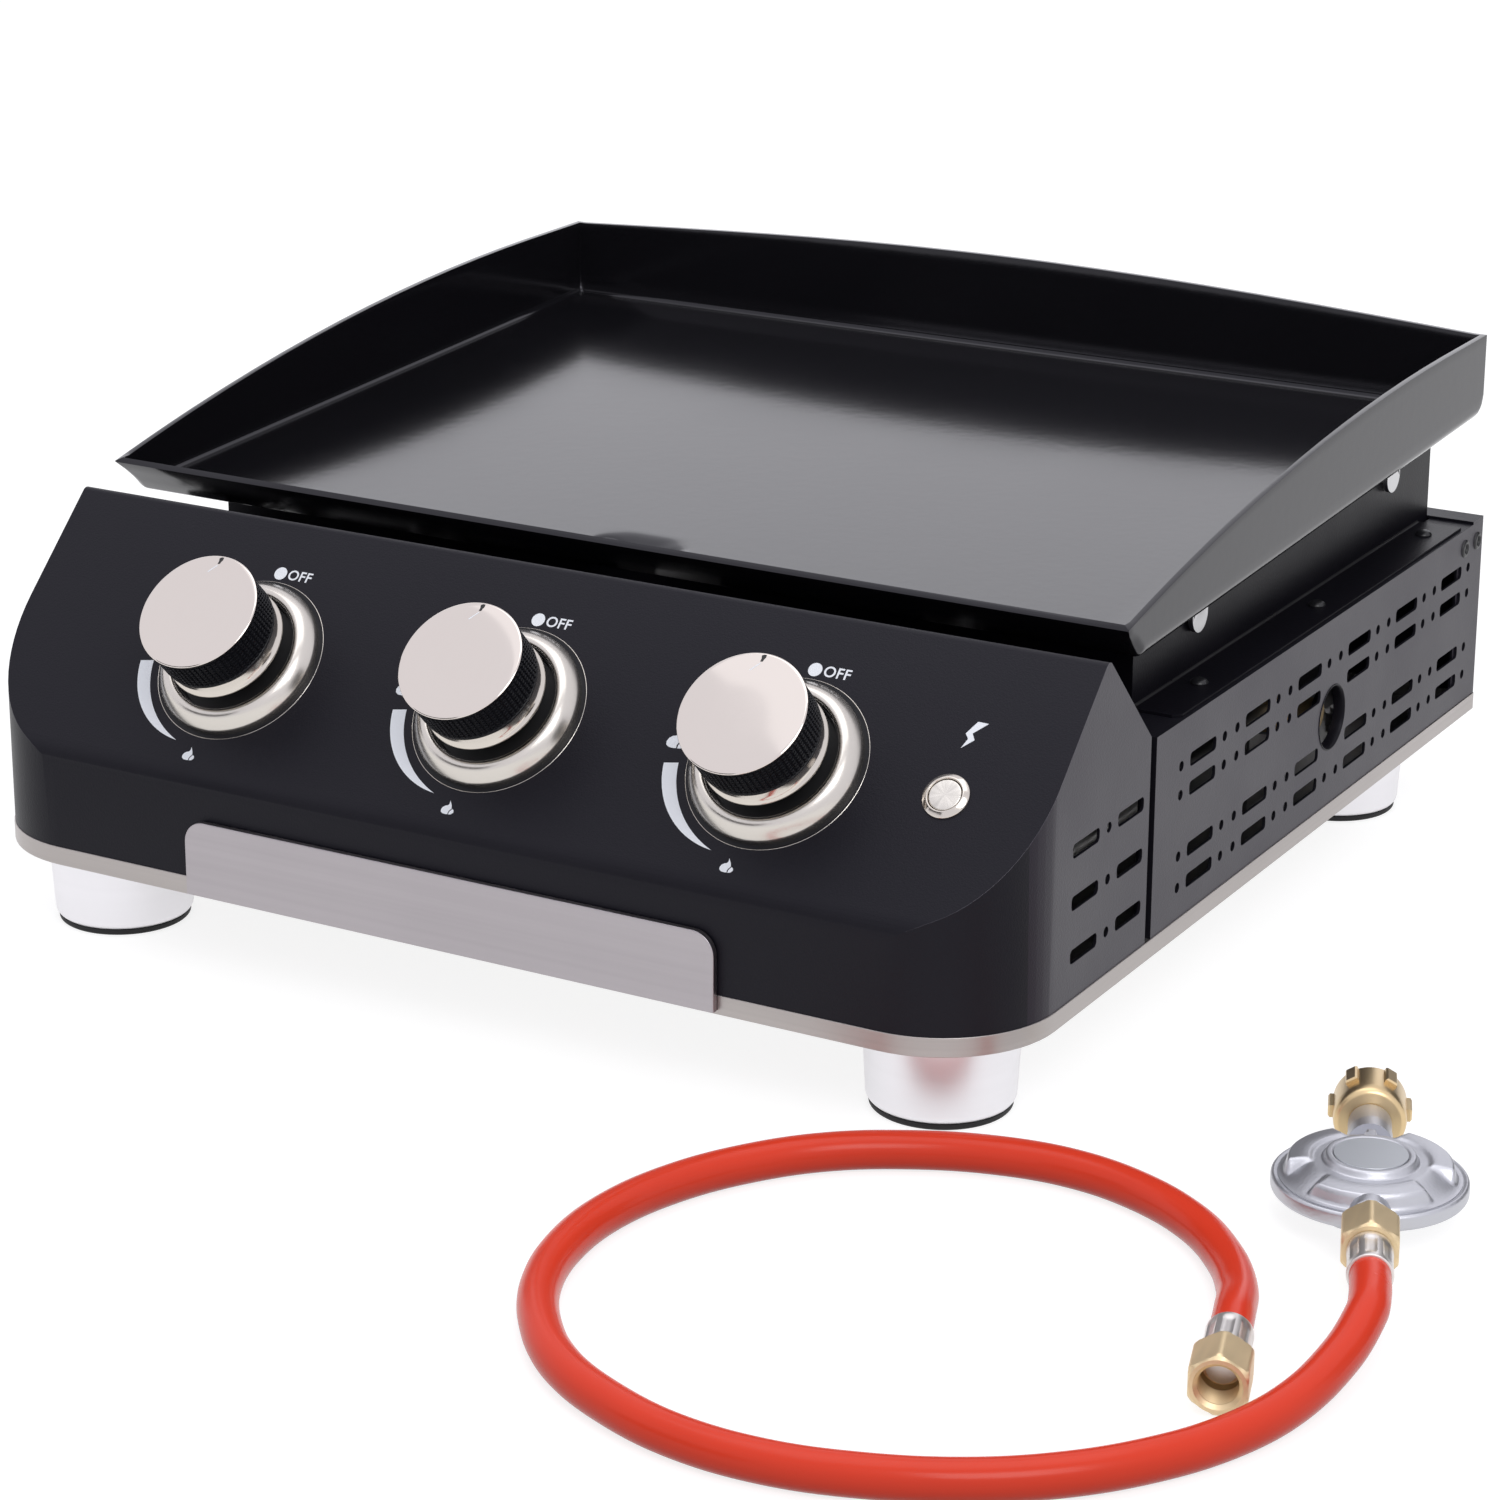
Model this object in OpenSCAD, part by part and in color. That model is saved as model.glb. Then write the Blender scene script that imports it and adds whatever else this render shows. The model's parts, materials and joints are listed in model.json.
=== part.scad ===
// Tabletop gas griddle with three burners, its slide-out grease tray,
// and a loose gas hose with a bottle regulator lying beside it.
// Millimetres, +Z up. The origin is on the ground, under the middle of the griddle.
// -Y is the front, where the knobs are, and +X is the right-hand side.

/* [Body] */
// Width over the trim strip
body_w = 460; // [440:5:500]
// Depth from the trim's front to the back panel
body_d = 467; // [460:1:500]
// Plan radius of the two front corners
corner_r = 47; // [35:1:55]
// Height of the feet, from the ground to the base
foot_h = 35.5; // [28:0.5:45]
// Height of the trim strip
trim_h = 7.5; // [6:0.5:10]
// Thickness of the trim strip
trim_t = 1; // [0.8:0.1:1.4]
// Sheet thickness of the painted panels
sheet = 1.2; // [1:0.1:1.6]
// How far the painted panels stand back from the trim's face
panel_inset = 0.4; // [0.2:0.1:0.8]
// Height of the side panels above the trim
side_h = 79.4; // [76:0.1:90]
// Width of the side panels' folded edges
side_flange = 20; // [17:0.5:22]
// Width of the back panel's folded top edge
back_flange = 12; // [8:0.5:12]
// Radius of the head of a panel rivet
rivet_r = 3.4; // [2.5:0.1:4]

/* [Control housing] */
// Height of the housing's upright front above the trim
hood_front_h = 39.7; // [38:0.1:46]
// Angle of the control panel from level
panel_deg = 44; // [40:1:48]
// Length of the control panel up its slope
panel_len = 118; // [114:1:124]
// Angle at which the housing falls away behind the panel
hood_back_deg = 46.5; // [42:0.5:52]
// Depth of the housing's side faces
hood_d = 123.7; // [120:0.1:128]
// Gap between the housing and the side panels
hood_gap = 5; // [3:0.5:8]
// Outer radius of the bend under the control panel
hood_bend_r = 14; // [6:1:25]
// Outer radius of the bend along the panel's top edge
hood_top_r = 3; // [2:0.5:5]

/* [Vents] */
// Length of a vent slot
slot_l = 24; // [16:0.5:26]
// Height of a vent slot
slot_h = 5.5; // [4:0.1:7]
// Corner radius of a vent slot
slot_r = 1.8; // [1:0.1:2]
// Radius of a round vent hole
hole_r = 2; // [1.4:0.1:2.5]
// Distance from a slot's middle to the holes beside it
hole_step = 20; // [17:0.5:21]
// Number of slots in a row on a side panel
side_slots = 6; // [4:1:6]
// Distance between the slots in a row
side_pitch = 51.9; // [48:0.1:53]
// Distance from the front to a side panel's first slot
side_slot_y = 171.7; // [168:0.1:178]

/* [Gas port] */
// Radius of the port in the right-hand panel
port_r = 13.75; // [12:0.25:15]
// Distance of the port behind the front
port_y = 300.7; // [298:0.1:304]
// Height of the port and of the gas manifold above the ground
port_z = 80; // [78:0.5:82]
// Outer radius of the gas inlet's thread
inlet_r = 6.58; // [6:0.01:7]
// Length of the gas inlet's thread
inlet_l = 11; // [8:0.5:13]

/* [Firebox] */
// How far the pan overhangs the firebox's side walls
pan_over = 20; // [16:0.5:24]
// Distance from the front to the firebox
fire_y = 151.7; // [150:0.1:154]
// Distance from the firebox to the back of the body
fire_rear = 12.7; // [12.3:0.1:17]
// How far the firebox narrows below its ledge, on each side
fire_step = 18.5; // [16:0.5:24]
// Height of the firebox floor above the ground
tub_z = 66; // [65:0.5:70]
// Radius of a flange screw's head
screw_r = 3.6; // [3:0.1:4.2]

/* [Burners] */
// Distance between neighbouring knobs and burners
pitch = 120; // [114:1:124]
// Outer radius of a burner tube
burner_r = 15; // [13:0.5:16]
// Outer radius of a burner's mixing tube
mixer_r = 12.3; // [11:0.1:12.5]
// Wall of the burner tubes
burner_wall = 1.2; // [0.8:0.1:1.5]
// Height of the burners above the ground
burner_z = 96; // [95:0.5:97]
// Number of flame ports in each of a burner's two rows
port_count = 18; // [10:1:24]
// Radius of a flame port
flame_r = 1.2; // [0.8:0.1:1.5]
// Outer radius of the gas manifold
manifold_r = 8; // [7:0.5:8]
// Outer radius of the gas pipe
pipe_r = 4; // [3:0.5:4.5]

/* [Griddle] */
// How far the pan's sides stand in from the trim's
pan_side = 1.5; // [0.5:0.5:7]
// Thickness of the pan's sheet
pan_t = 2.5; // [2:0.1:3]
// Distance from the front to the bend of the pan's front lip
pan_y = 117.3; // [116:0.1:119]
// How far the pan's back stands in front of the body's back
pan_rear = 6.1; // [3:0.1:9]
// Height of that bend above the ground
pan_z = 155.5; // [150:0.1:160]
// Angle at which the floor falls towards the front
pan_fall = 2.22; // [1:0.01:2.5]
// Rise of the front lip
lip_rise = 15.1; // [12:0.1:16]
// Height of the side walls' highest point above the front bend
wall_rise = 49.45; // [45:0.05:55]
// Radius of the curve along the side walls' top
wall_curve_r = 1468; // [1300:1:1700]
// Extra height of the back wall at its middle
back_arch = 8.6; // [4:0.1:11]
// Outer radius of the bends between the floor and the walls
pan_bend_r = 7; // [4:0.5:9]
// Length of the grease drain
drain_l = 44; // [30:1:60]
// Width of the grease drain
drain_w = 14; // [12:0.5:16]
// Corner radius of the grease drain
drain_r = 5; // [3:0.5:5.5]
// Distance from the front to the middle of the grease drain
drain_y = 141; // [139:0.5:142]
// Width of a locating lug
lug_w = 14; // [10:0.5:16]
// Depth of a locating lug below the pan
lug_h = 20; // [15:0.5:22]
// Sideways gap between a lug and the firebox
lug_gap = 1; // [0.6:0.1:2]

/* [Knobs] */
// Distance of the knobs up the control panel
knob_s = 53.9; // [52:0.1:56]
// Radius of a knob
knob_r = 24.9; // [23:0.1:25]
// Height of a knob's face above the panel
knob_h = 37.5; // [36:0.1:40]
// Thickness of a knob's metal cap
cap_t = 2.2; // [1.5:0.1:3]
// Height of the black grip
grip_h = 15.4; // [13:0.1:16]
// Height of the chrome ring under the grip
skirt_h = 7.4; // [5:0.1:8]
// Travel of a knob when it is pressed
push = 3; // [2:0.1:3]
// Radius of a valve stem
stem_r = 4; // [3:0.1:5]
// Outer radius of a bezel
bezel_r = 35.6; // [34:0.1:38]
// Inner radius of a bezel's raised rim
bezel_in_r = 26; // [25.6:0.1:27]
// Height of a bezel's raised rim
bezel_h = 7.8; // [6:0.1:9]

/* [Igniter] */
// Distance of the igniter button from the body's right-hand side
igniter_in = 41; // [38:0.5:46]
// Distance of the igniter button up the control panel
igniter_s = 53.5; // [50:0.5:57]
// Radius of the igniter's ring
igniter_r = 9; // [8:0.1:10]
// Radius of the igniter button
button_r = 6.3; // [5:0.1:6.5]
// Travel of the igniter button
button_push = 2.5; // [1.5:0.1:2.5]

/* [Feet] */
// Distance of the feet's middles from the body's sides
foot_in = 43.5; // [40:0.5:50]
// Distance from the front to the front feet
foot_front_y = 44.2; // [40:0.1:50]
// Distance from the rear feet to the back of the body
foot_rear = 51; // [42:0.5:62]
// Radius at the top of a foot
foot_top_r = 29.5; // [26:0.1:31]
// Radius at the bottom of a foot
foot_low_r = 27.6; // [25:0.1:29]
// Height of a foot's rubber pad
pad_h = 2.5; // [2:0.1:4]

/* [Grease tray] */
// Width of the tray between its lips
tray_w = 206; // [190:2:210]
// Depth of the tray
tray_d = 162; // [155:1:165]
// Height of the tray's floor above the ground
tray_z = 46; // [45:0.5:47]
// Height of the tray's walls
tray_h = 13.3; // [11:0.1:14]
// Sheet thickness of the tray
tray_t = 1; // [0.8:0.1:1.2]
// Width of the tray's side lips
tray_lip = 6; // [4:0.5:7]
// Width of the tray's front plate
plate_w = 236; // [230:1:250]
// Height of the tray's front plate
plate_h = 30.5; // [29:0.5:34]
// Corner radius of the front plate's top corners
plate_r = 9; // [5:0.5:12]
// How far the front plate stands out from the trim
plate_out = 3; // [2.5:0.1:4]

/* [Hose set] */
// Radius of the hose
hose_r = 7; // [6.5:0.1:7.2]
// Radius of the crimped ferrules
ferrule_r = 7.8; // [7.6:0.1:8.4]
// Length of a ferrule
ferrule_l = 17.5; // [15:0.5:20]
// Size across the flats of the two hose nuts
nut_af = 19; // [18.5:0.1:19.4]
// Length of a hose nut
nut_l = 19; // [17:0.5:20]
// Radius of the regulator's rim
reg_r = 33.7; // [31:0.1:36]
// Thickness of the regulator's rim
reg_rim = 4; // [3:0.5:6]
// Height of the regulator's pipe line above the ground
reg_z = 15; // [14.5:0.1:17]
// Radius of the bottle nut
bottle_r = 13; // [12.5:0.1:14]
// Length of the bottle nut
bottle_l = 21; // [18:0.5:24]

/* [Hidden] */
$fn = 48;

// Clearances
fit = 0.05;        // radial gap of a shaft that turns or slides
seat = 0.3;        // gap under a part that lifts off
loose = 0.5;       // gap round the tray in its slot
eps = 0.01;        // overlap that makes a cut go right through
past = 5;          // how far a cutting block runs past what it cuts

// Heights
base_top = foot_h + sheet;
trim_top = foot_h + trim_h;
shelf_z = trim_top + side_h;
bend_z = trim_top + hood_front_h;

// Control panel: its run, its rise and how far the knobs reach in front of the trim
panel_run = panel_len * cos(panel_deg);
panel_rise = panel_len * sin(panel_deg);
panel_top_z = bend_z + panel_rise;
knob_edge = 0.6;
knob_reach = (knob_h - knob_edge) * sin(panel_deg) + knob_r * cos(panel_deg)
    - knob_s * cos(panel_deg) - panel_inset;
front_y = (max(knob_reach, plate_out) - body_d) / 2;
back_y = front_y + body_d;
half_w = body_w / 2;

// What stands in the body, from its sides and its back
pan_w = body_w - 2 * pan_side;
pan_d = body_d - pan_rear - pan_y;
fire_w = pan_w - 2 * pan_over;
fire_d = body_d - fire_rear - fire_y;
tub_w = fire_w - 2 * fire_step;
igniter_x = half_w - igniter_in;
foot_x = half_w - foot_in;
foot_rear_y = body_d - foot_rear;

// Grey levels and metals
BLACK = [0.07, 0.07, 0.08];
ENAMEL = [0.04, 0.04, 0.045];
STEEL = [0.72, 0.70, 0.69];
CHROME = [0.85, 0.85, 0.85];
BRASS = [0.80, 0.66, 0.40];
ZINC = [0.74, 0.75, 0.77];
HOSE_RED = [0.86, 0.27, 0.17];

// ---------- helpers ----------

function unit(v) = v / norm(v);
// The inner normal of the line from a to b, for outlines that run clockwise.
function inner(a, b) = let(d = unit(b - a)) [d[1], -d[0]];
// Corner b of the outline a-b-c, moved inwards by d.
function miter(a, b, c, d) = let(m = inner(a, b), n = inner(b, c)) b + d * (m + n) / (1 + m * n);
// Corner b of the outline a-b-c as an arc of radius r in steps points.
function bend(a, b, c, r, steps = 6) =
    let(u = unit(a - b), v = unit(c - b), half = acos(u * v) / 2,
        start = b + u * r / tan(half), stop = b + v * r / tan(half),
        mid = b + unit(u + v) * r / sin(half), sweep = 180 - 2 * half,
        turn = cross(start - mid, stop - mid) > 0 ? 1 : -1)
    [for (i = [0:steps]) let(t = turn * sweep * i / steps, p = start - mid)
        mid + [p[0] * cos(t) - p[1] * sin(t), p[0] * sin(t) + p[1] * cos(t)]];

// Extrudes an outline drawn in depth and height across the width w.
module across(w) rotate([90, 0, 90]) linear_extrude(w, center = true) children();
// Stands children on a level at a distance y behind the front.
module behind(y, z = 0) translate([0, front_y + y, z]) children();
// Places children on the control panel, x across and s up its slope, facing outwards.
module on_panel(x, s, w = 0)
    translate([x, front_y + panel_inset + s * cos(panel_deg), bend_z + s * sin(panel_deg)])
    rotate([panel_deg, 0, 0]) translate([0, 0, w]) children();
// Turns a piece that is drawn along +Z so that it runs to the back.
module to_back() rotate([-90, 0, 0]) children();
// Turns a piece that is drawn along +Z so that it runs to the right.
module to_right() rotate([0, 90, 0]) children();
// A ring from radius a to radius b.
module ring(a, b, h) difference() {
    cylinder(r = b, h = h);
    translate([0, 0, -eps]) cylinder(r = a, h = h + 2 * eps);
}
// A rod of radius r from p to q.
module rod(p, q, r) let(d = q - p)
    translate(p) rotate([0, acos(d[2] / norm(d)), atan2(d[1], d[0])]) cylinder(r = r, h = norm(d));
// A rectangle with rounded corners.
module rounded(w, h, r) {
    square([w - 2 * r, h], center = true);
    square([w, h - 2 * r], center = true);
    for (x = [-1, 1], y = [-1, 1]) translate([x * (w / 2 - r), y * (h / 2 - r)]) circle(r, $fn = 24);
}
// The outline of the base, set in by i, to a depth d behind the front.
module plan(i, d) {
    translate([-half_w + i, front_y + corner_r]) square([body_w - 2 * i, d - corner_r]);
    translate([-half_w + corner_r, front_y + i]) square([body_w - 2 * corner_r, d - i]);
    for (x = [-1, 1]) translate([x * (half_w - corner_r), front_y + corner_r])
        circle(corner_r - i, $fn = 96);
}
// One group of a vent row: a slot with a hole before and after it.
module vent(before = true, after = true, length = slot_l) {
    rounded(length, slot_h, slot_r);
    if (before) translate([-hole_step, 0]) circle(hole_r, $fn = 20);
    if (after) translate([hole_step, 0]) circle(hole_r, $fn = 20);
}

// ---------- base ----------

foot_places = [for (x = [-foot_x, foot_x], y = [foot_front_y, foot_rear_y]) [x, front_y + y]];
bolt_r = 3;

module base_pan() color(STEEL) difference() {
    translate([0, 0, foot_h]) linear_extrude(trim_h) plan(trim_t, body_d - trim_t);
    translate([0, 0, base_top]) linear_extrude(trim_h) plan(trim_t + sheet, body_d - trim_t - sheet);
    for (p = foot_places) translate([p[0], p[1], foot_h - 1]) cylinder(r = bolt_r + fit, h = sheet + 2);
    for (x = [-1, 0, 1], y = [0.45, 0.6, 0.75])
        translate([x * pitch, front_y + y * body_d, foot_h - 1]) cylinder(r = 9, h = sheet + 2);
}

module trim_band() color(STEEL) translate([0, 0, foot_h]) linear_extrude(trim_h) difference() {
    plan(0, body_d);
    plan(trim_t, body_d - trim_t);
}

cup_wall = 2;
cup_floor = 5.5;
head_h = 3;

module foot_cups() color(CHROME) for (p = foot_places) translate([p[0], p[1], 0])
    rotate_extrude($fn = 64) polygon(concat(
        [[bolt_r + fit, pad_h + head_h], [5.6, pad_h + head_h], [5.6, pad_h]],
        bend([5.6, pad_h], [foot_low_r, pad_h], [foot_top_r, foot_h], 3),
        [[foot_top_r, foot_h], [foot_top_r - cup_wall, foot_h],
         [foot_low_r - cup_wall, pad_h + cup_floor], [bolt_r + fit, pad_h + cup_floor]]));

module foot_pads() color([0.05, 0.05, 0.05]) for (p = foot_places) translate([p[0], p[1], 0])
    rotate_extrude($fn = 64) polygon(concat([[0, 0]],
        bend([0, 0], [foot_low_r - 1, 0], [foot_low_r - 1, pad_h], 1, 4),
        [[foot_low_r - 1, pad_h], [0, pad_h]]));

module foot_bolts() color(STEEL) for (p = foot_places) translate([p[0], p[1], 0]) {
    translate([0, 0, pad_h + 0.1]) cylinder(r = 5.4, h = head_h - 0.1);
    translate([0, 0, pad_h + head_h - eps]) cylinder(r = bolt_r, h = base_top + 7 - pad_h - head_h);
    translate([0, 0, base_top]) cylinder(r = 5.8, h = 5, $fn = 6);
}

// ---------- control housing ----------

hood_foot = [panel_inset, trim_top];
hood_bend = [panel_inset, bend_z];
hood_top = [panel_inset + panel_run, panel_top_z];
hood_rear = [hood_d, panel_top_z - (hood_d - hood_top[0]) * tan(hood_back_deg)];
hood_heel = [hood_d, trim_top];
hood_vent_rows = [16.5, 37, 57];
hood_slot_y = [70, 107.7];
hood_hole_y = 89;
hood_slot_l = 22;
tray_slot_w = tray_w + 2 * tray_lip + 2 * loose;
knob_hole_r = 16;
barrel_r = igniter_r - 1;
knob_xs = [-pitch, 0, pitch];

module hood_profile(i) let(
        a = hood_foot + [i, -past * (i > 0 ? 1 : 0)],
        b = miter(hood_foot, hood_bend, hood_top, i),
        c = miter(hood_bend, hood_top, hood_rear, i),
        d = i > 0 ? miter(hood_top, hood_rear, hood_heel, i) + past * unit(hood_rear - hood_top) : hood_rear)
    polygon(concat([a], bend(a, b, c, hood_bend_r - i), bend(b, c, d, hood_top_r - i),
        i > 0 ? [d, [d[0] + past, d[1]], [d[0] + past, a[1]]] : [d, hood_heel]));

module front_housing() color(BLACK) difference() {
    intersection() {
        linear_extrude(panel_top_z + past) plan(panel_inset, hood_d + past);
        behind(0) across(body_w) hood_profile(0);
    }
    intersection() {
        linear_extrude(panel_top_z + past) plan(panel_inset + sheet, hood_d + 3 * past);
        behind(0) across(body_w) hood_profile(sheet);
    }
    behind(-past, tray_z - loose) translate([-tray_slot_w / 2, 0, 0])
        cube([tray_slot_w, 2 * past + sheet, tray_h + 2 * loose]);
    for (x = knob_xs) on_panel(x, knob_s, -past) cylinder(r = knob_hole_r, h = 2 * past);
    on_panel(igniter_x, igniter_s, -past) cylinder(r = barrel_r + fit, h = 2 * past);
    behind(0, trim_top) across(body_w + 2) for (z = hood_vent_rows) {
        for (y = hood_slot_y) translate([y, z]) vent(false, false, hood_slot_l);
        translate([hood_hole_y, z]) circle(hole_r, $fn = 20);
    }
}

// ---------- side and back panels ----------

side_y = hood_d + hood_gap;
side_rows = [61.3, 49.8, 25.3, 12.7];
side_outer = half_w - panel_inset;
rivet_ys = [body_d - 21, body_d - 6.5];
rivet_z = shelf_z - 8.5;
rivet_hole_r = 1.6;
screw_shank_r = 2;
fire_end = fire_y + fire_d;
screw_ys = [fire_y + 40.1, fire_y + 155.9, fire_end - 29];
front_fold = 7;

// The vents of a side panel, in depth and height. The port leaves no room for some holes.
module side_vents(port) for (row = [0:3], i = [0:side_slots - 1])
    let(z = trim_top + side_rows[row], y = side_slot_y + i * side_pitch,
        gap = port && abs(z - port_z) < port_r + 2 * hole_r)
    translate([y, z]) vent(!(gap && abs(y - hole_step - port_y) < 1.2 * port_r),
        !(gap && abs(y + hole_step - port_y) < 1.2 * port_r));

// A side panel, drawn on the right. Its top edge folds in under the firebox flange.
module side_panel(port) difference() {
    union() {
        behind(0) translate([side_outer - sheet / 2, 0, 0]) across(sheet)
            translate([side_y, trim_top]) square([body_d - side_y, side_h]);
        translate([side_outer - side_flange, front_y + side_y, shelf_z - sheet])
            cube([side_flange, body_d - sheet - side_y, sheet]);
        translate([side_outer - front_fold, front_y + side_y, trim_top])
            cube([front_fold, sheet, side_h]);
    }
    behind(0) translate([side_outer, 0, 0]) across(4 * sheet) side_vents(port);
    if (port) translate([side_outer - past, front_y + port_y, port_z]) to_right() cylinder(r = port_r, h = 2 * past);
    for (y = screw_ys) translate([screw_x, front_y + y, shelf_z - past])
        cylinder(r = screw_shank_r + fit, h = 2 * past, $fn = 24);
    for (y = rivet_ys) translate([side_outer - past, front_y + y, rivet_z]) to_right()
        cylinder(r = rivet_hole_r, h = 2 * past, $fn = 24);
}
screw_x = (fire_w / 2 + side_outer) / 2 - 1;

module side_panel_right() color(BLACK) side_panel(true);
module side_panel_left() color(BLACK) mirror([1, 0, 0]) side_panel(false);

back_rows = [61.3, 25.3];
back_slots = 7;
back_fold = 26;

module back_panel() let(w = side_outer - sheet) color(BLACK) difference() {
    union() {
        translate([-w, back_y - sheet, trim_top]) cube([2 * w, sheet, side_h]);
        for (x = [-w, w - sheet]) translate([x, back_y - back_fold, trim_top])
            cube([sheet, back_fold, side_h - sheet]);
        translate([-side_outer, back_y - back_flange, shelf_z]) cube([2 * side_outer, back_flange, sheet]);
    }
    translate([0, back_y + past, trim_top]) rotate([90, 0, 0]) linear_extrude(2 * past + sheet)
        for (z = back_rows, i = [0:back_slots - 1])
            translate([(i - (back_slots - 1) / 2) * side_pitch, z]) vent();
    for (y = rivet_ys) translate([-half_w - past, front_y + y, rivet_z]) to_right()
        cylinder(r = rivet_hole_r, h = body_w + 2 * past, $fn = 24);
}

module panel_rivets() color(BLACK) for (x = [-1, 1], y = rivet_ys)
    translate([x * side_outer, front_y + y, rivet_z]) rotate([0, x * 90, 0]) {
        ring(1, rivet_r, 0.9);
        translate([0, 0, -2 * sheet - 1]) ring(1, rivet_hole_r, 2 * sheet + 1.5);
        translate([0, 0, -2 * sheet - 1]) ring(1, rivet_r - 0.8, 1);
    }

// ---------- firebox and burners ----------

// Height of the pan's underside at a distance y behind the front
function pan_under(y) = pan_z + (y - pan_y) * tan(pan_fall);
ledge_z = shelf_z - 10;
flange_end = fire_end - 10.3;
flange_w = half_w - 2;
flue_slots = 9;
burner_end = fire_end - 14;
mixer_y = fire_y - 50;
mixer_bore = mixer_r + 0.3;
electrode_y = fire_y + 50;
electrode_x = 23;

module fire_walls(i) {
    behind(0) across(fire_w - 2 * i) polygon([[fire_y + i, ledge_z + i],
        [fire_y + i, pan_under(fire_y) - seat + (i > 0 ? past : 0)],
        [fire_end - i, pan_under(fire_end) - seat + (i > 0 ? past : 0)], [fire_end - i, ledge_z + i]]);
    translate([-tub_w / 2 + i, front_y + fire_y + i, tub_z + i])
        cube([tub_w - 2 * i, fire_d - 2 * i, ledge_z - tub_z]);
}

module firebox() color(BLACK) difference() {
    union() {
        fire_walls(0);
        translate([0, front_y + fire_y, shelf_z]) linear_extrude(sheet) polygon([[-flange_w + 3, 0],
            [flange_w - 3, 0], [flange_w, 3], [flange_w, flange_end - fire_y], [-flange_w, flange_end - fire_y],
            [-flange_w, 3]]);
    }
    fire_walls(sheet);
    for (x = knob_xs) translate([x, front_y + fire_y - 1, burner_z]) to_back()
        cylinder(r = mixer_bore, h = sheet + 2);
    for (x = [-1, 1], y = screw_ys) translate([x * screw_x, front_y + y, shelf_z - 1])
        cylinder(r = screw_shank_r + fit, h = sheet + 2, $fn = 24);
    for (x = knob_xs) translate([x + electrode_x, front_y + electrode_y, tub_z - 1])
        cylinder(r = 3 + fit, h = sheet + 2, $fn = 24);
    translate([0, front_y + fire_end + 1, shelf_z + 18]) rotate([90, 0, 0]) linear_extrude(sheet + 2)
        for (i = [0:flue_slots - 1]) translate([(i - (flue_slots - 1) / 2) * 42, 0]) rounded(30, 9, 4);
    for (x = [-1.5, -0.5, 0.5, 1.5], y = [0.25, 0.5, 0.75])
        translate([x * pitch / 1.2, front_y + fire_y + y * fire_d, tub_z - 1]) cylinder(r = 7, h = sheet + 2);
}

module firebox_screws() color(BLACK) for (x = [-1, 1], y = screw_ys)
    translate([x * screw_x, front_y + y, shelf_z + sheet]) {
        rotate_extrude($fn = 32) polygon([[0, 0], [screw_r, 0], [screw_r, 0.6], [screw_r * 0.8, 1.7],
            [screw_r * 0.45, 2.2], [0, 2.2]]);
        translate([0, 0, -7]) cylinder(r = screw_shank_r, h = 7 + eps, $fn = 24);
    }

// A folded roof over the middle mixing tube, which sheds the grease to both sides.
module drip_guard() color(STEEL) let(a = drain_l / 2 + 2, z = burner_z + mixer_r + 1.5, rise = 9, y = hood_d + 4)
    translate([0, front_y + y, z]) rotate([90, 0, 0]) mirror([0, 0, 1]) linear_extrude(fire_y - y)
        polygon([[-a, 0], [0, rise], [a, 0], [a, sheet], [0, rise + sheet], [-a, sheet]]);

// A burner along its own axis: the mixing tube, the burner tube and its tail.
module burner(x) color(STEEL) translate([x, front_y, burner_z]) difference() {
    union() {
        translate([0, mixer_y, 0]) to_back() cylinder(r = mixer_r, h = fire_y + 10 - mixer_y);
        translate([0, fire_y + 6, 0]) to_back() cylinder(r = burner_r, h = burner_end - fire_y - 6);
        translate([0, burner_end - eps, 0]) to_back() cylinder(r = 3, h = fire_end - sheet - burner_end + eps);
    }
    translate([0, mixer_y - 1, 0]) to_back() cylinder(r = mixer_r - burner_wall, h = fire_y + 20 - mixer_y);
    translate([0, fire_y + 6 + burner_wall, 0]) to_back()
        cylinder(r = burner_r - burner_wall, h = burner_end - fire_y - 6 - 2 * burner_wall);
    translate([0, mixer_y + 9, 0]) for (a = [-90, 90]) rotate([0, a, 0]) translate([-5, -5, 0])
        cube([10, 12, mixer_r + 1]);
    for (i = [0:port_count - 1], a = [-35, 35])
        translate([0, fire_y + 24 + i * (burner_end - fire_y - 40) / (port_count - 1), 0])
            rotate([0, a, 0]) cylinder(r = flame_r, h = burner_r + 1, $fn = 16);
}
module burner_left() burner(-pitch);
module burner_middle() burner(0);
module burner_right() burner(pitch);

// Ceramic spark electrodes that stand in the firebox floor beside the burners
module electrodes() color([0.92, 0.90, 0.86]) for (x = knob_xs)
    translate([x + electrode_x, front_y + electrode_y, 0]) {
        translate([0, 0, tub_z - 6]) cylinder(r = 3, h = burner_z - tub_z + 12, $fn = 24);
        translate([0, 0, tub_z + sheet]) cylinder(r = 5, h = 3, $fn = 24);
        rod([0, 0, burner_z + 5], [0, 0, burner_z + 14], 1);
        rod([0, 0, burner_z + 14], [-7, 0, burner_z + 17], 1);
    }

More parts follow.
